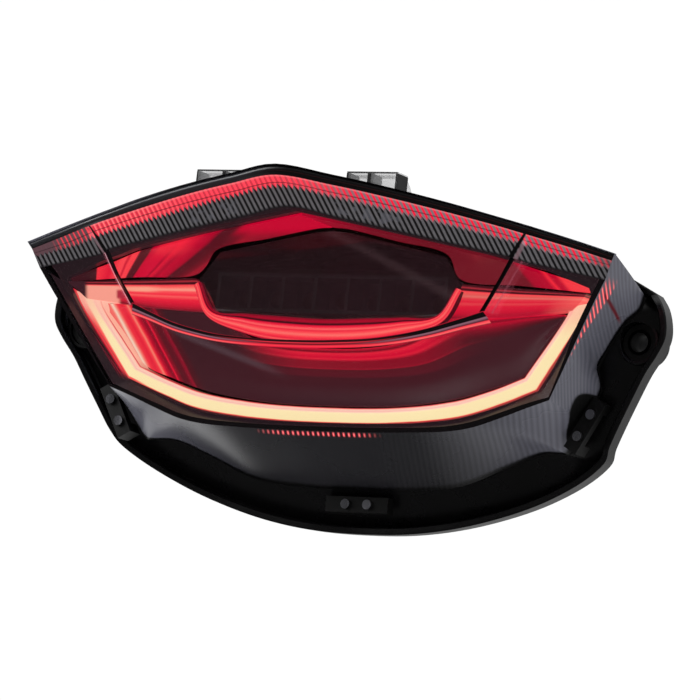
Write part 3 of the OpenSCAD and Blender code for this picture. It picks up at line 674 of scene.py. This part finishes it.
def step_floor():
    """Lower wall of the raised bay, with a black line of painted shade and a grey and a coral line of painted
    light along it.
    """
    m, nt, p = material("bay_ledge", (60, 30, 40), 0.12)
    v = uv(nt)[1]
    wob = add(nt, v, wobble(nt, 0.12, 40, 2))
    side = ramp(nt, wob, [
        (0, 200, 24, 52), (0.07, 8, 4, 6), (0.4, 10, 5, 7), (0.47, 136, 96, 110), (0.6, 110, 66, 80),
        (0.67, 70, 20, 32), (0.76, 244, 62, 76), (0.88, 255, 96, 98), (1, 90, 24, 36)])
    mid = ramp(nt, wob, [
        (0, 36, 8, 14), (0.25, 40, 10, 16), (0.33, 236, 50, 66), (0.42, 150, 14, 36), (0.52, 60, 14, 22),
        (0.6, 190, 28, 48), (0.74, 240, 54, 70), (0.88, 235, 30, 60), (1, 170, 20, 46)])
    c = blend(nt, step(nt, mag(nt, along(nt, X_AXIS, -4)), 10, 34), mid, side)
    tint(p, blend(nt, 0.3, (4, 2, 3), c))
    emit(p, c, 0.9)
    return m


# ---- the lens
def ring_line(half, s, corners):
    """Point at s on a half outline that is mirrored about the centre; s is negative on the left."""
    pts = [mirrored(half[1])] + [Vector(p) for p in half] + [mirrored(half[-2])]
    p = smooth_line(pts, abs(s) + 1, tuple(c + 1 for c in corners))
    return mirrored(p) if s < 0 else p


def outline(surface, s):
    """Point on the outline of surface(t, s), from the top centre at 0 round to BOTTOM; s < 0 on the left."""
    k = abs(s)
    if k <= TIP:
        return surface(0, s)
    if k <= LOW_TIP:
        p = surface(k - TIP, TIP)
        return mirrored(p) if s < 0 else p
    return surface(TIP, math.copysign(BOTTOM - k, s))


def foot_point(s):
    return ring_line(FOOT, s, (7, 10, 14, 16))


def skirt(s, v):
    """Slanted side from the face's outline to the foot, slightly crowned."""
    p = outline(face, s).lerp(foot_point(s), v)
    out = Vector((p.x, 0, p.z - CENTRE_Z)).normalized()
    return p + out * 0.2 * math.sin(math.pi * v)


def fluted_band(t, s):
    """Band under the lip, raised into flutes that fade at its two edges."""
    p = face(t, s)
    height = FLUTE_DEPTH * max(0, min(1, (t - 1) * 12, (2 - t) * 12))
    ph = (sum(a * b for a, b in zip(FLUTE_ALONG, p)) + FLUTE_OFFSET) / FLUTE_PITCH % 1
    return p + Vector((0, 0.8, 0.6)) * height * (abs(ph - 0.5) * 2)


# The lip's profile: place down the lip, and how far back it lies there.
LIP = [(0, 1.35), (0.07, 0.95), (0.46, 0.06), (0.52, 0.1), (0.58, 0.45), (0.66, 0.5), (1, 0.3)]


def lip_front(v, s):
    """The lip: a slanted bead along its upper half and a set-back flat below it."""
    p = face(0, s).lerp(face(1, s), v)
    for (v0, d0), (v1, d1) in zip(LIP, LIP[1:]):
        if v <= v1:
            return p + Vector((0, d0 + (d1 - d0) * (v - v0) / (v1 - v0), 0))
    return p


def back_face(t, s):
    """Inside of the lens face, a wall behind the rows of the outside."""
    j = min(TIP - 1, int(t))
    f = t - j
    p = row(j, s).lerp(row(j + 1, s), f)
    by = BACK_Y[j] * (1 - f) + BACK_Y[j + 1] * f
    bz = BACK_Z[j] * (1 - f) + BACK_Z[j + 1] * f
    return Vector((p.x * INNER_SCALE, p.y + WALL * by, p.z + WALL * bz))


def inset(p, d, dy=0.0):
    """p moved about d towards the middle of the outline, and dy back."""
    return Vector((p.x * (1 - d / HALF_W), p.y + dy, (p.z - CENTRE_Z) * (1 - d / HALF_H) + CENTRE_Z))


def make_lens():
    """The lens as one mesh; the number after the places of each patch is its material."""
    pane, gloss, skirt_mat, band_mat, wall, ledge, line, rim, clear, lip = range(10)
    bar_in, bar_out, bar_low = 4.86, TIP - 0.07, TIP - 0.12
    wide, foot = steps(-TIP, TIP, 84), steps(-BOTTOM, BOTTOM, 84)
    patches = [
        (lip_front, [v for v, d in LIP], wide, lip),
        (fluted_band, steps(1, 2, 24), steps(-TIP, TIP, 1100), band_mat, lambda t, s: (s, t - 1)),
    ]
    for side in (-1, 1):
        for down, across, mat in (
                (steps(2, 4, 16), (bar_in, 4.93, 5), line),
                (steps(2, 4, 16), steps(5, 6, 4), wall),
                (steps(2, 4, 16), steps(6, bar_out, 8), pane),
                (steps(4, 5, 2), steps(5, bar_out, 8), pane),
                (steps(2, 5, 24), (bar_out, TIP), rim),
                (steps(5, bar_out, 16), (bar_out, TIP), rim)):
            patches.append((face, down, [side * x for x in across], mat))
    patches += [
        (face, steps(2, 4, 20), steps(-bar_in, bar_in, 60), pane),
        (face, steps(4, 5, 8), steps(-5, 5, 60), ledge, lambda t, s: (s, t - 4)),
        (face, steps(5, bar_low, 14), steps(-bar_out, bar_out, 70), pane),
        (face, [bar_low, 6.94, TIP], wide, rim),
        (skirt, steps(-BOTTOM, BOTTOM, 210), [0, 0.03, 0.08, 0.2, 0.4, 0.6, 0.8, 0.92, 1], skirt_mat),
        (lambda s, v: foot_point(s).lerp(inset(foot_point(s), 2.4), v), foot, (0, 1), gloss),
        (lambda s, v: inset(foot_point(s), 2.4).lerp(outline(back_face, s), v), foot, (0, 1), gloss),
        (back_face, steps(0, TIP, TIP), steps(-TIP, TIP, 28), clear),
    ]
    inside, nt, p = material("lens_inside", (0.02, 0.01, 0.012, 1), 0.1, Alpha=0.03)
    relief(p, grain(nt, 60, 2), 0.02)
    mats = [lens_pane(), lens_gloss(), lens_skirt(), lens_band(), step_wall(), step_floor(),
            # bay_edge_line is a near-black line of painted shade along the fold at the bay's edge
            plain_line("bay_edge_line", (8, 4, 6), 0.5, Specular_IOR_Level=0.1),
            plain_line("face_edge_line", (16, 9, 13), 0.25), inside, lip_with_painted_sheen()]
    return build("smoked_lens", patches, mats, 0)


finish_piece(make_lens(), "smoked_lens", "outer_lens")


# ---- inside of the light
def guide_material():
    """Warm white light guide with red edges, which turns peach towards its two upper ends."""
    m, nt, p = material("running_glow", (255, 230, 180), 0.35)
    v = uv(nt)[1]
    z = along(nt, Z_AXIS)
    g = grain(nt, 60, 2)
    v = add(nt, v, wobble(nt, 0.05, 160, 2))
    c = ramp(nt, v, [
        (0, 150, 8, 34), (0.05, 240, 24, 56), (0.1, 255, 226, 170), (0.14, 255, 234, 180),
        (0.6, 255, 234, 180), (0.68, 253, 204, 184), (0.72, 250, 176, 170), (0.78, 253, 206, 186),
        (0.9, 253, 198, 178), (0.945, 240, 40, 66), (1, 150, 8, 34)])
    border = over(nt, v, step(nt, z, -15, 2, 1, 2.2))
    wide_edge = ramp(nt, border, [
        (0, 120, 24, 44), (0.03, 226, 30, 56), (0.1, 255, 62, 74), (0.15, 255, 120, 104),
        (0.19, 255, 226, 176), (0.3, 255, 234, 180)])
    left_side = step(nt, along(nt, X_AXIS), -58, -64)
    left_leg = times(nt, left_side, step(nt, border, 0.2, 0.3, 1, 0))
    c = blend(nt, left_leg, c, wide_edge)
    c = blend(nt, times(nt, g, 0.14), c, (255, 205, 160))
    c = blend(nt, times(nt, left_side, step(nt, v, 0.97, 0.99)), c, (253, 178, 154))
    top = step(nt, z, -4, 6)
    c = blend(nt, times(nt, top, 0.7), c, blend(nt, g, (255, 120, 112), (255, 214, 190)))
    glow(p, c, 1.1)
    return m


def upper_left():
    """Left upper reflector: crimson, with a fan of slanting shadows between bright patches."""
    m, nt, p = material("upper_reflector_left_red", (180, 20, 50), 0.3)
    h, k = along(nt, STREAK_X, 75.6), along(nt, STREAK_Z, 1.15)
    wob = wobble(nt, 0.12, 40, 2)
    w = add(nt, over(nt, h, k), wob)
    c = ramp(nt, over(nt, w, 2.0), [
        (0, 60, 20, 28), (0.045, 70, 22, 30), (0.055, 250, 50, 66), (0.14, 228, 16, 52),
        (0.2, 255, 66, 76), (0.225, 255, 70, 80), (0.24, 206, 10, 48), (0.255, 255, 66, 76),
        (0.285, 255, 60, 72), (0.295, 88, 22, 32), (0.345, 84, 20, 30), (0.358, 206, 2, 48),
        (0.45, 214, 4, 52), (0.47, 170, 2, 42), (0.49, 226, 20, 54), (0.53, 170, 4, 42), (0.56, 196, 4, 46),
        (0.62, 176, 4, 42), (0.645, 84, 18, 30), (0.7, 92, 18, 30), (0.755, 120, 18, 34),
        (0.79, 160, 22, 42), (0.86, 150, 18, 40), (1, 140, 16, 38)])
    high = times(nt, step(nt, k, 21, 26), step(nt, w, 0.74, 0.8), step(nt, w, 1.0, 1.2, 0.85, 0))
    c = blend(nt, high, c, (240, 34, 58))
    c = blend(nt, times(nt, step(nt, k, 28, 31), step(nt, w, 1.36, 1.44)), c, (204, 4, 48))
    glow(p, c, 1.05)
    return m


def upper_right():
    """Right upper reflector: dull red, crimson and then coral towards its outer corner."""
    m, nt, p = material("upper_reflector_right_red", (140, 20, 40), 0.3)
    w = add(nt, along(nt, (0.847, 0.335, 0.95)), wobble(nt, 3, 35, 2))
    c = ramp(nt, over(nt, w, 80), [
        (0, 190, 6, 44), (0.2, 170, 8, 42), (0.36, 120, 16, 34), (0.5, 112, 18, 32), (0.74, 114, 20, 34),
        (0.755, 172, 2, 40), (0.81, 190, 4, 44), (0.825, 250, 40, 60), (0.837, 190, 6, 44),
        (0.852, 200, 8, 46), (0.865, 255, 56, 68), (0.92, 255, 66, 74), (1, 255, 60, 72)])
    glow(p, c, 1.05)
    return m


def wing_material(name, right_side):
    """Wing beside the brake window: dark at the top, bright coral streaks, crimson at the foot."""
    m, nt, p = material(name, (240, 60, 70), 0.3)
    u, v = uv(nt)
    streak = grain(nt, 90, 3, 0.6, (0.16, 1, 1.6))
    v = add(nt, v, times(nt, sub(nt, streak, 0.5), 0.16))
    c = ramp(nt, v, [
        (0, 48, 10, 18), (0.06, 80, 12, 24), (0.1, 176, 44, 56), (0.13, 60, 12, 22), (0.17, 70, 14, 24),
        (0.2, 250, 62, 74), (0.27, 255, 110, 100), (0.34, 254, 158, 138), (0.4, 255, 84, 88),
        (0.5, 248, 44, 66), (0.56, 255, 92, 92), (0.65, 240, 36, 60), (0.76, 222, 24, 54),
        (0.88, 190, 20, 46), (1, 116, 18, 34)])
    patch = step(nt, grain(nt, 45, 2, 0.5, (0.5, 1, 1)), 0.5, 0.62)
    c = blend(nt, times(nt, patch, 0.55 if right_side else 0.3, step(nt, v, 0.2, 0.3)), c, (206, 8, 48))
    if right_side:
        # painted highlight: a peach line near the top of the outer end
        c = blend(nt, times(nt, step(nt, u, 0.72, 0.97), 0.5, step(nt, v, 0.2, 0.26)), c, (255, 108, 100))
    else:
        # painted highlights on the left wing: a pale patch and a pale tip; a redder gap between them, and the
        # far end darker
        h = along(nt, STREAK_X)
        pale = times(nt, band(nt, h, -66, -57, 3), band(nt, v, 0.26, 0.42, 0.06))
        tip = times(nt, step(nt, h, -66.5, -68), step(nt, v, 0.2, 0.27))
        gap = times(nt, band(nt, h, -68, -65.6, 0.5), band(nt, v, 0.4, 0.8, 0.08))
        c = blend(nt, pale, c, (255, 164, 138))
        c = blend(nt, tip, c, (252, 160, 142))
        c = blend(nt, gap, c, (178, 44, 62))
        c = blend(nt, step(nt, h, -76, -77.5), c, (58, 28, 36))
    glow(p, c, 1.08)
    return m


def smile_material():
    """Brake light guide: long bright striations."""
    m, nt, p = material("brake_glow", (250, 70, 80), 0.3)
    v = uv(nt)[1]
    streak = grain(nt, 60, 2, 0.5, (0.1, 1, 1))
    v = add(nt, v, times(nt, sub(nt, streak, 0.5), 0.12))
    c = ramp(nt, v, [
        (0, 110, 14, 32), (0.12, 168, 10, 40), (0.18, 150, 8, 36), (0.22, 44, 14, 22), (0.27, 48, 14, 22),
        (0.32, 220, 14, 52), (0.4, 246, 44, 66), (0.47, 255, 92, 92), (0.52, 240, 36, 62),
        (0.6, 255, 72, 80), (0.68, 255, 112, 104), (0.76, 255, 62, 74), (0.84, 236, 24, 58),
        (0.9, 255, 84, 86), (0.96, 214, 14, 52), (1, 40, 8, 16)])
    glow(p, c, 1.1)
    return m


def dish_material():
    """Dark dish: fading arcs of painted red light under the brake light, and painted streaks of the guide's
    light beside the guide's left leg.
    """
    m, nt, p = material("lower_reflector_dark", (60, 20, 30), 0.25, Specular_IOR_Level=0.12)
    v = uv(nt)[1]
    x = along(nt, X_AXIS)
    base = blend(nt, grain(nt, 25, 2), (52, 26, 32), (72, 30, 38))
    arcs = ramp(nt, v, [
        (0, 220, 20, 52), (0.05, 110, 12, 30), (0.08, 236, 34, 60), (0.14, 214, 10, 50),
        (0.17, 230, 30, 58), (0.21, 140, 14, 36), (0.31, 136, 18, 38), (0.335, 160, 20, 42),
        (0.35, 88, 24, 34), (0.46, 90, 24, 36), (0.49, 70, 26, 34), (0.7, 66, 28, 36), (1, 58, 26, 34)])
    c = blend(nt, band(nt, x, -20, 40, 14), base, arcs)
    streaky = wobble(nt, 1.6, 45, 3)
    w = add(nt, along(nt, (0.855, 0.39, 0.638), 67), streaky)
    s = ramp(nt, over(nt, w, 17), [
        (0, 255, 100, 98), (0.09, 255, 120, 110), (0.135, 255, 222, 196), (0.18, 255, 130, 116),
        (0.22, 250, 56, 70), (0.3, 236, 36, 60), (0.35, 255, 60, 72), (0.385, 255, 132, 112),
        (0.42, 250, 44, 64), (0.46, 196, 16, 46), (0.52, 140, 16, 38), (0.55, 150, 16, 40),
        (0.57, 240, 26, 58), (0.6, 150, 16, 38), (0.67, 92, 24, 34), (0.74, 100, 20, 34),
        (0.8, 150, 20, 42), (0.84, 84, 22, 32), (1, 62, 28, 34)])
    c = blend(nt, times(nt, step(nt, x, -30, -36), step(nt, w, 17, 15)), c, s)
    # painted red light along the top on the right
    top_red = ramp(nt, v, [
        (0, 232, 26, 56), (0.06, 214, 14, 50), (0.1, 128, 12, 34), (0.13, 190, 14, 46),
        (0.2, 130, 18, 38), (0.26, 92, 20, 32), (0.34, 62, 28, 34)])
    c = blend(nt, times(nt, step(nt, x, 36, 46), step(nt, v, 0.3, 0.34, 1, 0)), c, top_red)
    sheen = times(nt, band(nt, along(nt, (0.295, 0.015, 0.954)), -18.7, -17.1, 0.8), band(nt, x, -52, -20, 6))
    c = blend(nt, times(nt, sheen, 0.5), c, (92, 74, 82))
    glow(p, c, 1.0)
    return m


def between(f, y):
    """Line a part f of the way from the guide's outer edge to its inner edge, moved back by y."""
    return [a * (1 - f) + b * f + Vector((0, y, 0)) for a, b in zip(whole(GUIDE_OUT), whole(GUIDE_IN))]


BENDS = (2, 10)
rows = [between(0, 0.5), between(0.3, -0.5), between(0.7, -0.5), between(1, 0.5)]
finish_piece(slab("running_glow_guide", rows, (0, 4.4, 0), guide_material(), 96, 9, BENDS),
             "running_guide", "running_light_guide")
left_bowl = [[mirrored(p) for p in r] for r in (BOWL_TOP, BOWL_LOW)]
for name, rows, mat in (("left", left_bowl, upper_left()), ("right", [BOWL_TOP, BOWL_LOW], upper_right())):
    finish_piece(slab("upper_reflector_" + name + "_bowl", rows, (0, 1, 0.9), mat, 60, 14),
                 "red_reflector", "upper_reflector_" + name)
LEFT_TIP_EXTRA = 2.4  # closes a gap seen beside the left wing
for name, sign in (("left", -1), ("right", 1)):
    rows = [[(sign * p[0], p[1], p[2]) for p in r] for r in (WING_TOP, WING_LOW)]
    if sign < 0:
        rows = [r[:-1] + [(r[-1][0] - LEFT_TIP_EXTRA, r[-1][1], r[-1][2])] for r in rows]
    rows.insert(1, [(Vector(a) + Vector(b)) / 2 + Vector((0, 0.8, 0)) for a, b in zip(*rows)])
    finish_piece(slab("wing_reflector_" + name + "_curve", rows, (0, 3.4, 0),
                      wing_material("wing_glow_" + name, sign > 0), 24, 10),
                 "wing_reflector", "wing_reflector_" + name)
for name, rows, thick, mat, nu, nv, slot, node in (
        ("brake_glow_guide", (SMILE_TOP, SMILE_MID, SMILE_LOW), 2, smile_material(), 72, 16,
         "brake_guide", "brake_light_guide"),
        ("lower_reflector_dish", (DISH_TOP, DISH_MID, DISH_LOW), 1.2, dish_material(), 96, 24,
         "dark_reflector", "lower_reflector")):
    finish_piece(slab(name, [whole(r) for r in rows], (0, thick, 0), mat, nu, nv), slot, node)


def paint(mat, *nodes):
    """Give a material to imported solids, which keep their shape."""
    for node in nodes:
        NODES[node].data.materials.clear()
        NODES[node].data.materials.append(mat)


def bezel_material(name, lit_edge=False):
    """Dark satin plastic, glowing faintly with painted light; lit_edge adds the red lines that the guide
    throws on its left border.
    """
    m, nt, p = material(name, (30, 20, 24), 0.4)
    g = grain(nt, 70, 3)
    c = blend(nt, g, (32, 22, 26), (46, 31, 37))
    if lit_edge:
        v = uv(nt)[1]
        lines = ramp(nt, v, [
        (0.5, 46, 24, 32), (0.56, 132, 20, 42), (0.62, 52, 18, 28), (0.7, 190, 26, 50), (0.76, 96, 20, 34),
        (0.84, 232, 32, 58), (0.92, 255, 84, 86), (1, 255, 70, 78)])
        left = times(nt, step(nt, along(nt, X_AXIS), -60, -66), step(nt, along(nt, Z_AXIS), -17, -13))
        c = blend(nt, times(nt, left, step(nt, v, 0.5, 0.56)), c, lines)
    glow(p, c, 0.85)
    relief(p, grain(nt, 400, 2), 0.05)
    return m


def window_material():
    """Smoked window over the brake cells; the walls between the cells show through it faintly, and it glows a
    little with painted light.
    """
    m, nt, p = material("window_smoke", (20, 14, 16), 0.06, Alpha=0.62)
    c = blend(nt, grain(nt, 30, 2), (28, 21, 23), (44, 22, 28))
    sheen = band(nt, along(nt, (0.39, 0.076, 0.917)), 20.6, 22.8, 1)
    c = blend(nt, times(nt, sheen, 0.5), c, (74, 56, 60))
    tint(p, c)
    emit(p, c, 0.6)
    return m


def cell_material():
    """Metallised cells with dark walls, lit with painted light that is plainer and lighter at their front
    edges.
    """
    m, nt, p = material("cell_metal", (120, 118, 122), 0.3, Metallic=0.6)
    g = grain(nt, 120, 3)
    front = step(nt, along(nt, (0, 1, 0)), -17.1, -16.6, 1, 0)
    tint(p, blend(nt, g, (80, 80, 84), (130, 130, 134)))
    c = blend(nt, front, blend(nt, g, (24, 22, 24), (36, 33, 36)), (56, 57, 58))
    emit(p, c, 0.8)
    return m


paint(bezel_material("bezel_satin"), "inner_bezel")
flange_in = [face(6.9, s) for s in (0, 1.8, 3.6, 5)] + [face(6.86, 6.88), face(4.6, 6.93), face(2.3, 6.93)]
flange_in = whole([p + Vector((-0.2 if i else 0, 0.9, 0.2)) for i, p in enumerate(flange_in)])
flange_out = [p + Vector((0, 1.2, 0)) for p in whole(GUIDE_OUT)]
finish_piece(slab("bezel_flange", [flange_in, flange_out], (0, 0.6, 0),
                  bezel_material("bezel_flange_satin", True), 72, 2, BENDS), "black_bezel")
paint(window_material(), "brake_window")
paint(cell_material(), "brake_reflector")


def strip_material():
    m, nt, p = material("band_strip_glow", (230, 40, 60), 0.3)
    c = blend(nt, grain(nt, 80, 2), (220, 30, 54), (250, 80, 84))
    glow(p, c, 0.9)
    return m


def board_material():
    m, nt, p = material("board_green", (24, 70, 40), 0.45)
    g = grain(nt, 300, 4, 0.6)
    c = blend(nt, step(nt, g, 0.45, 0.6), (18, 60, 34), (40, 96, 56))
    tint(p, c)
    relief(p, g, 0.05)
    return m


def chip_material(name, a, b, rough, light=0.0):
    """Small part between two colours from 0 to 255, lit or not."""
    m, nt, p = material(name, a, rough)
    g = grain(nt, 350, 3)
    c = blend(nt, g, a, b)
    tint(p, c)
    if light:
        emit(p, c, light)
    relief(p, g, 0.03)
    return m


def metal_material(name, a, b, rough):
    """Brushed metal between two colours from 0 to 255."""
    m, nt, p = material(name, a, rough, Metallic=1.0)
    g = grain(nt, 260, 4, 0.6, (1, 1, 0.15))
    tint(p, blend(nt, g, a, b))
    wire(nt, p.inputs["Roughness"], step(nt, g, 0.2, 0.8, rough * 0.7, rough * 1.3))
    relief(p, g, 0.02)
    return m


paint(strip_material(), "top_light_strip")
paint(board_material(), "brake_led_board", "side_led_board_left", "side_led_board_right",
      "bottom_led_board", "driver_board")
paint(chip_material("emitter_pale", (150, 148, 140), (190, 188, 180), 0.3), "brake_leds")
paint(chip_material("emitter_warm", (255, 226, 170), (255, 240, 200), 0.3, 1.0), "running_leds")
paint(chip_material("chip_black", (26, 26, 28), (60, 60, 64), 0.45), "driver_components")
paint(metal_material("steel_bright", (180, 180, 184), (214, 214, 218), 0.28), "board_screws")


# ---- black parts outside
def black_plastic(name, a, b, rough, texture):
    """Moulded plastic or rubber between two colours; rough is a range, texture a depth."""
    m, nt, p = material(name, a, 0.25)
    g = grain(nt, 40, 3)
    tint(p, blend(nt, g, a, b))
    wire(nt, p.inputs["Roughness"], step(nt, grain(nt, 90, 3), 0.25, 0.75, *rough))
    relief(p, grain(nt, 700, 3, 0.6), texture)
    return m


M_TUB = black_plastic("tub_black", (5, 4, 6), (12, 11, 13), (0.24, 0.32), 0.02)
M_CLIP = black_plastic("clip_black", (5, 4, 5), (10, 9, 10), (0.45, 0.65), 0.02)
M_RUBBER = black_plastic("rubber_black", (8, 8, 8), (15, 15, 15), (0.55, 0.8), 0.04)
RIM = [(0, -36.4, 36.6), (16, -34.9, 34.4), (32, -31.9, 31.4), (48, -27.4, 28), (62, -22.4, 24.4),
       (70.7, -18.9, 22), (82.3, -11.4, 17.8), (92.5, -3.3, 12.4), (95.2, -4, 9),
       (96.4, -3.6, 4.8), (96.2, -3, 0.6), (93.8, -2, -3.6), (90.2, -0.8, -8.4),
       (86.6, 0.6, -14.5), (82.5, 2.5, -21.5), (79, 4.5, -27.5), (75.8, 8, -31.8),
       (66, 11.5, -37.6), (51.5, 13.6, -43.7), (34, 14, -48.8), (17, 14.2, -51.6), (0, 15, -52.2)]


def rear(p, k, y):
    """p on the back of the tub at y, where the outline is k times as wide."""
    return Vector((p.x * k, y, (p.z - REAR_Z) * (k + 0.1) + REAR_Z))


def make_tub():
    """Smooth tub: floor, seat of the seal, gutter, rim and outside, as one closed skin."""
    def rim(s):
        return ring_line(RIM, s, (7,))

    foot = foot_point
    rings = [
        lambda s: Vector((0, BACK_PLANE - TUB_WALL, REAR_Z)),
        lambda s: rear(rim(s), 0.655, BACK_PLANE - TUB_WALL),
        lambda s: inset(foot(s), 6.4, -2.5), lambda s: inset(foot(s), 4.8, -2.5),
        lambda s: inset(foot(s), 3.3, SEAL_T),
        lambda s: inset(foot(s), 0.3, SEAL_T),
        lambda s: inset(rim(s), 0.5, 3.6), lambda s: inset(rim(s), 0, 3.0),
        lambda s: inset(rim(s), 0, 0.35), lambda s: inset(rim(s), -0.35, 0),
        lambda s: inset(rim(s), -1.45, 0), lambda s: inset(rim(s), -1.8, 0.35),
        lambda s: inset(rim(s), -1.5, 5.1), lambda s: inset(rim(s), -1.1, 5.5),
        lambda s: inset(foot(s), 0.3, 9),
        lambda s: rear(rim(s), 0.72, BACK_PLANE - 1.5), lambda s: rear(rim(s), 0.7, BACK_PLANE),
        lambda s: Vector((0, BACK_PLANE, REAR_Z))]
    ends = steps(-BOTTOM, BOTTOM, 252)
    patches = [(lambda s, v, a=a, b=b: a(s).lerp(b(s), v), ends, (0, 1), 0)
               for a, b in zip(rings, rings[1:])]
    return build("smooth_tub", patches, [M_TUB], 0.01)


PARTS = 48  # sides of a round piece


def join_loops(bm, loops):
    for a, b in zip(loops, loops[1:]):
        for i in range(PARTS):
            bm.faces.new((a[i], a[(i + 1) % PARTS], b[(i + 1) % PARTS], b[i]))


def lathe(name, x, profile):
    """Closed turned piece around an axis along Y at x; the profile is (radius, y) pairs."""
    bm = bmesh.new()
    loops = []
    for r, y in profile:
        loops.append([bm.verts.new(Vector((x + r * math.cos(a), y, r * math.sin(a))) * MM)
                      for a in [2 * math.pi * i / PARTS for i in range(PARTS)]])
    join_loops(bm, loops)
    bm.faces.new(loops[0])
    bm.faces.new(loops[-1])
    bmesh.ops.recalc_face_normals(bm, faces=bm.faces)
    return to_object(bm, name)


def combine(ob, tool, how):
    """Boolean of ob with tool, applied; the tool is deleted."""
    mod = ob.modifiers.new("cut", "BOOLEAN")
    mod.operation = how
    mod.solver = "EXACT"
    mod.object = tool
    dg = bpy.context.evaluated_depsgraph_get()
    me = bpy.data.meshes.new_from_object(ob.evaluated_get(dg))
    ob.modifiers.clear()
    ob.data = me
    bpy.data.objects.remove(tool)


tub = make_tub()
BOSS = [(BOSS_R - 0.3, -0.5), (BOSS_R, -0.2), (BOSS_R, NECK[1])]
BORE = [(BORE_R, -9), (BORE_R, NECK[0]), (NECK_R, NECK[0] + 0.001), (NECK_R, NECK[1] - 0.001),
        (BORE_R, NECK[1]), (BORE_R, 14)]
for x in (-EAR_X, EAR_X):
    combine(tub, lathe("boss", x, BOSS), "UNION")
    combine(tub, lathe("bore", x, BORE), "DIFFERENCE")
tub.data.materials.clear()
tub.data.materials.append(M_TUB)
smooth_faces(tub, 30)
finish_piece(tub, "black_housing", "rear_housing")
paint(M_RUBBER, "lens_seal", "ear_grommets", "vent_cap")
paint(metal_material("steel_black_zinc", (9, 9, 10), (17, 17, 19), 0.6), "ear_collars")
paint(M_CLIP, "connector_socket", "lens_clip_left", "lens_clip_right", "lens_clip_bottom")
paint(metal_material("pin_metal", (190, 160, 90), (220, 196, 130), 0.25), "connector_pins")
paint(metal_material("rivet_grey", (150, 150, 157), (190, 190, 198), 0.3), "clip_rivets")


def clear_material():
    m, nt, p = material("tab_clear", (225, 226, 228), 0.08, Alpha=0.34)
    g = grain(nt, 60, 2)
    tint(p, blend(nt, g, (215, 217, 219), (240, 240, 240)))
    relief(p, g, 0.05)
    return m


def rounded_box(bm, low, high):
    """Box with softened edges, added to bm."""
    made = bmesh.ops.create_cube(bm, size=1)["verts"]
    for v in made:
        v.co = Vector([(a + b) / 2 + c * (b - a) for a, b, c in zip(low, high, v.co)]) * MM
    edges = {e for v in made for e in v.link_edges}
    bmesh.ops.bevel(bm, geom=list(edges), offset=0.2 * MM, segments=2, affect="EDGES", clamp_overlap=True)


def from_boxes(name, boxes, mat):
    """One object of rounded boxes, each given by its low and high corners."""
    bm = bmesh.new()
    for low, high in boxes:
        rounded_box(bm, low, high)
    ob = to_object(bm, name, mat)
    smooth_faces(ob, 50)
    return ob


paint(clear_material(), "lens_tabs")
RIBS = [((a, TAB_FRONT + 0.05, 33.0), (b, TAB_REAR, TAB_TOP - 0.3))
        for a, b in ((15.9, 16.7), (22.5, 23.9), (31.4, 32.1))]
RIBS.append(((15.9, TAB_FRONT, TAB_TOP - 0.45), (32.1, -42.5, TAB_TOP + 0.02)))
LEFT_RIBS = [((-h[0], l[1], l[2]), (-l[0], h[1], h[2])) for l, h in RIBS]
finish_piece(from_boxes("tab_ribs_left", LEFT_RIBS, M_CLIP), "smoked_lens")
finish_piece(from_boxes("tab_ribs_right", RIBS, M_CLIP), "smoked_lens")

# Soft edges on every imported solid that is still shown.
SOFT_EDGE = 0.25
for ob in NODES.values():
    if not ob.hide_render:
        b = ob.modifiers.new("soft_edges", "BEVEL")
        b.width = SOFT_EDGE * MM
        b.segments = 2
        b.limit_method = "ANGLE"
        b.angle_limit = math.radians(40)

# ---- floor
FLOOR_Z = -0.5
bm = bmesh.new()
rings = []
for r in (0.0001, 1, 3, 8, 20):
    rings.append([bm.verts.new((r * math.cos(a), r * math.sin(a), FLOOR_Z))
                  for a in [2 * math.pi * i / PARTS for i in range(PARTS)]])
join_loops(bm, rings)
floor = to_object(bm, "floor", material("floor_pale", (236, 236, 234), 0.8)[0])
floor.visible_glossy = False
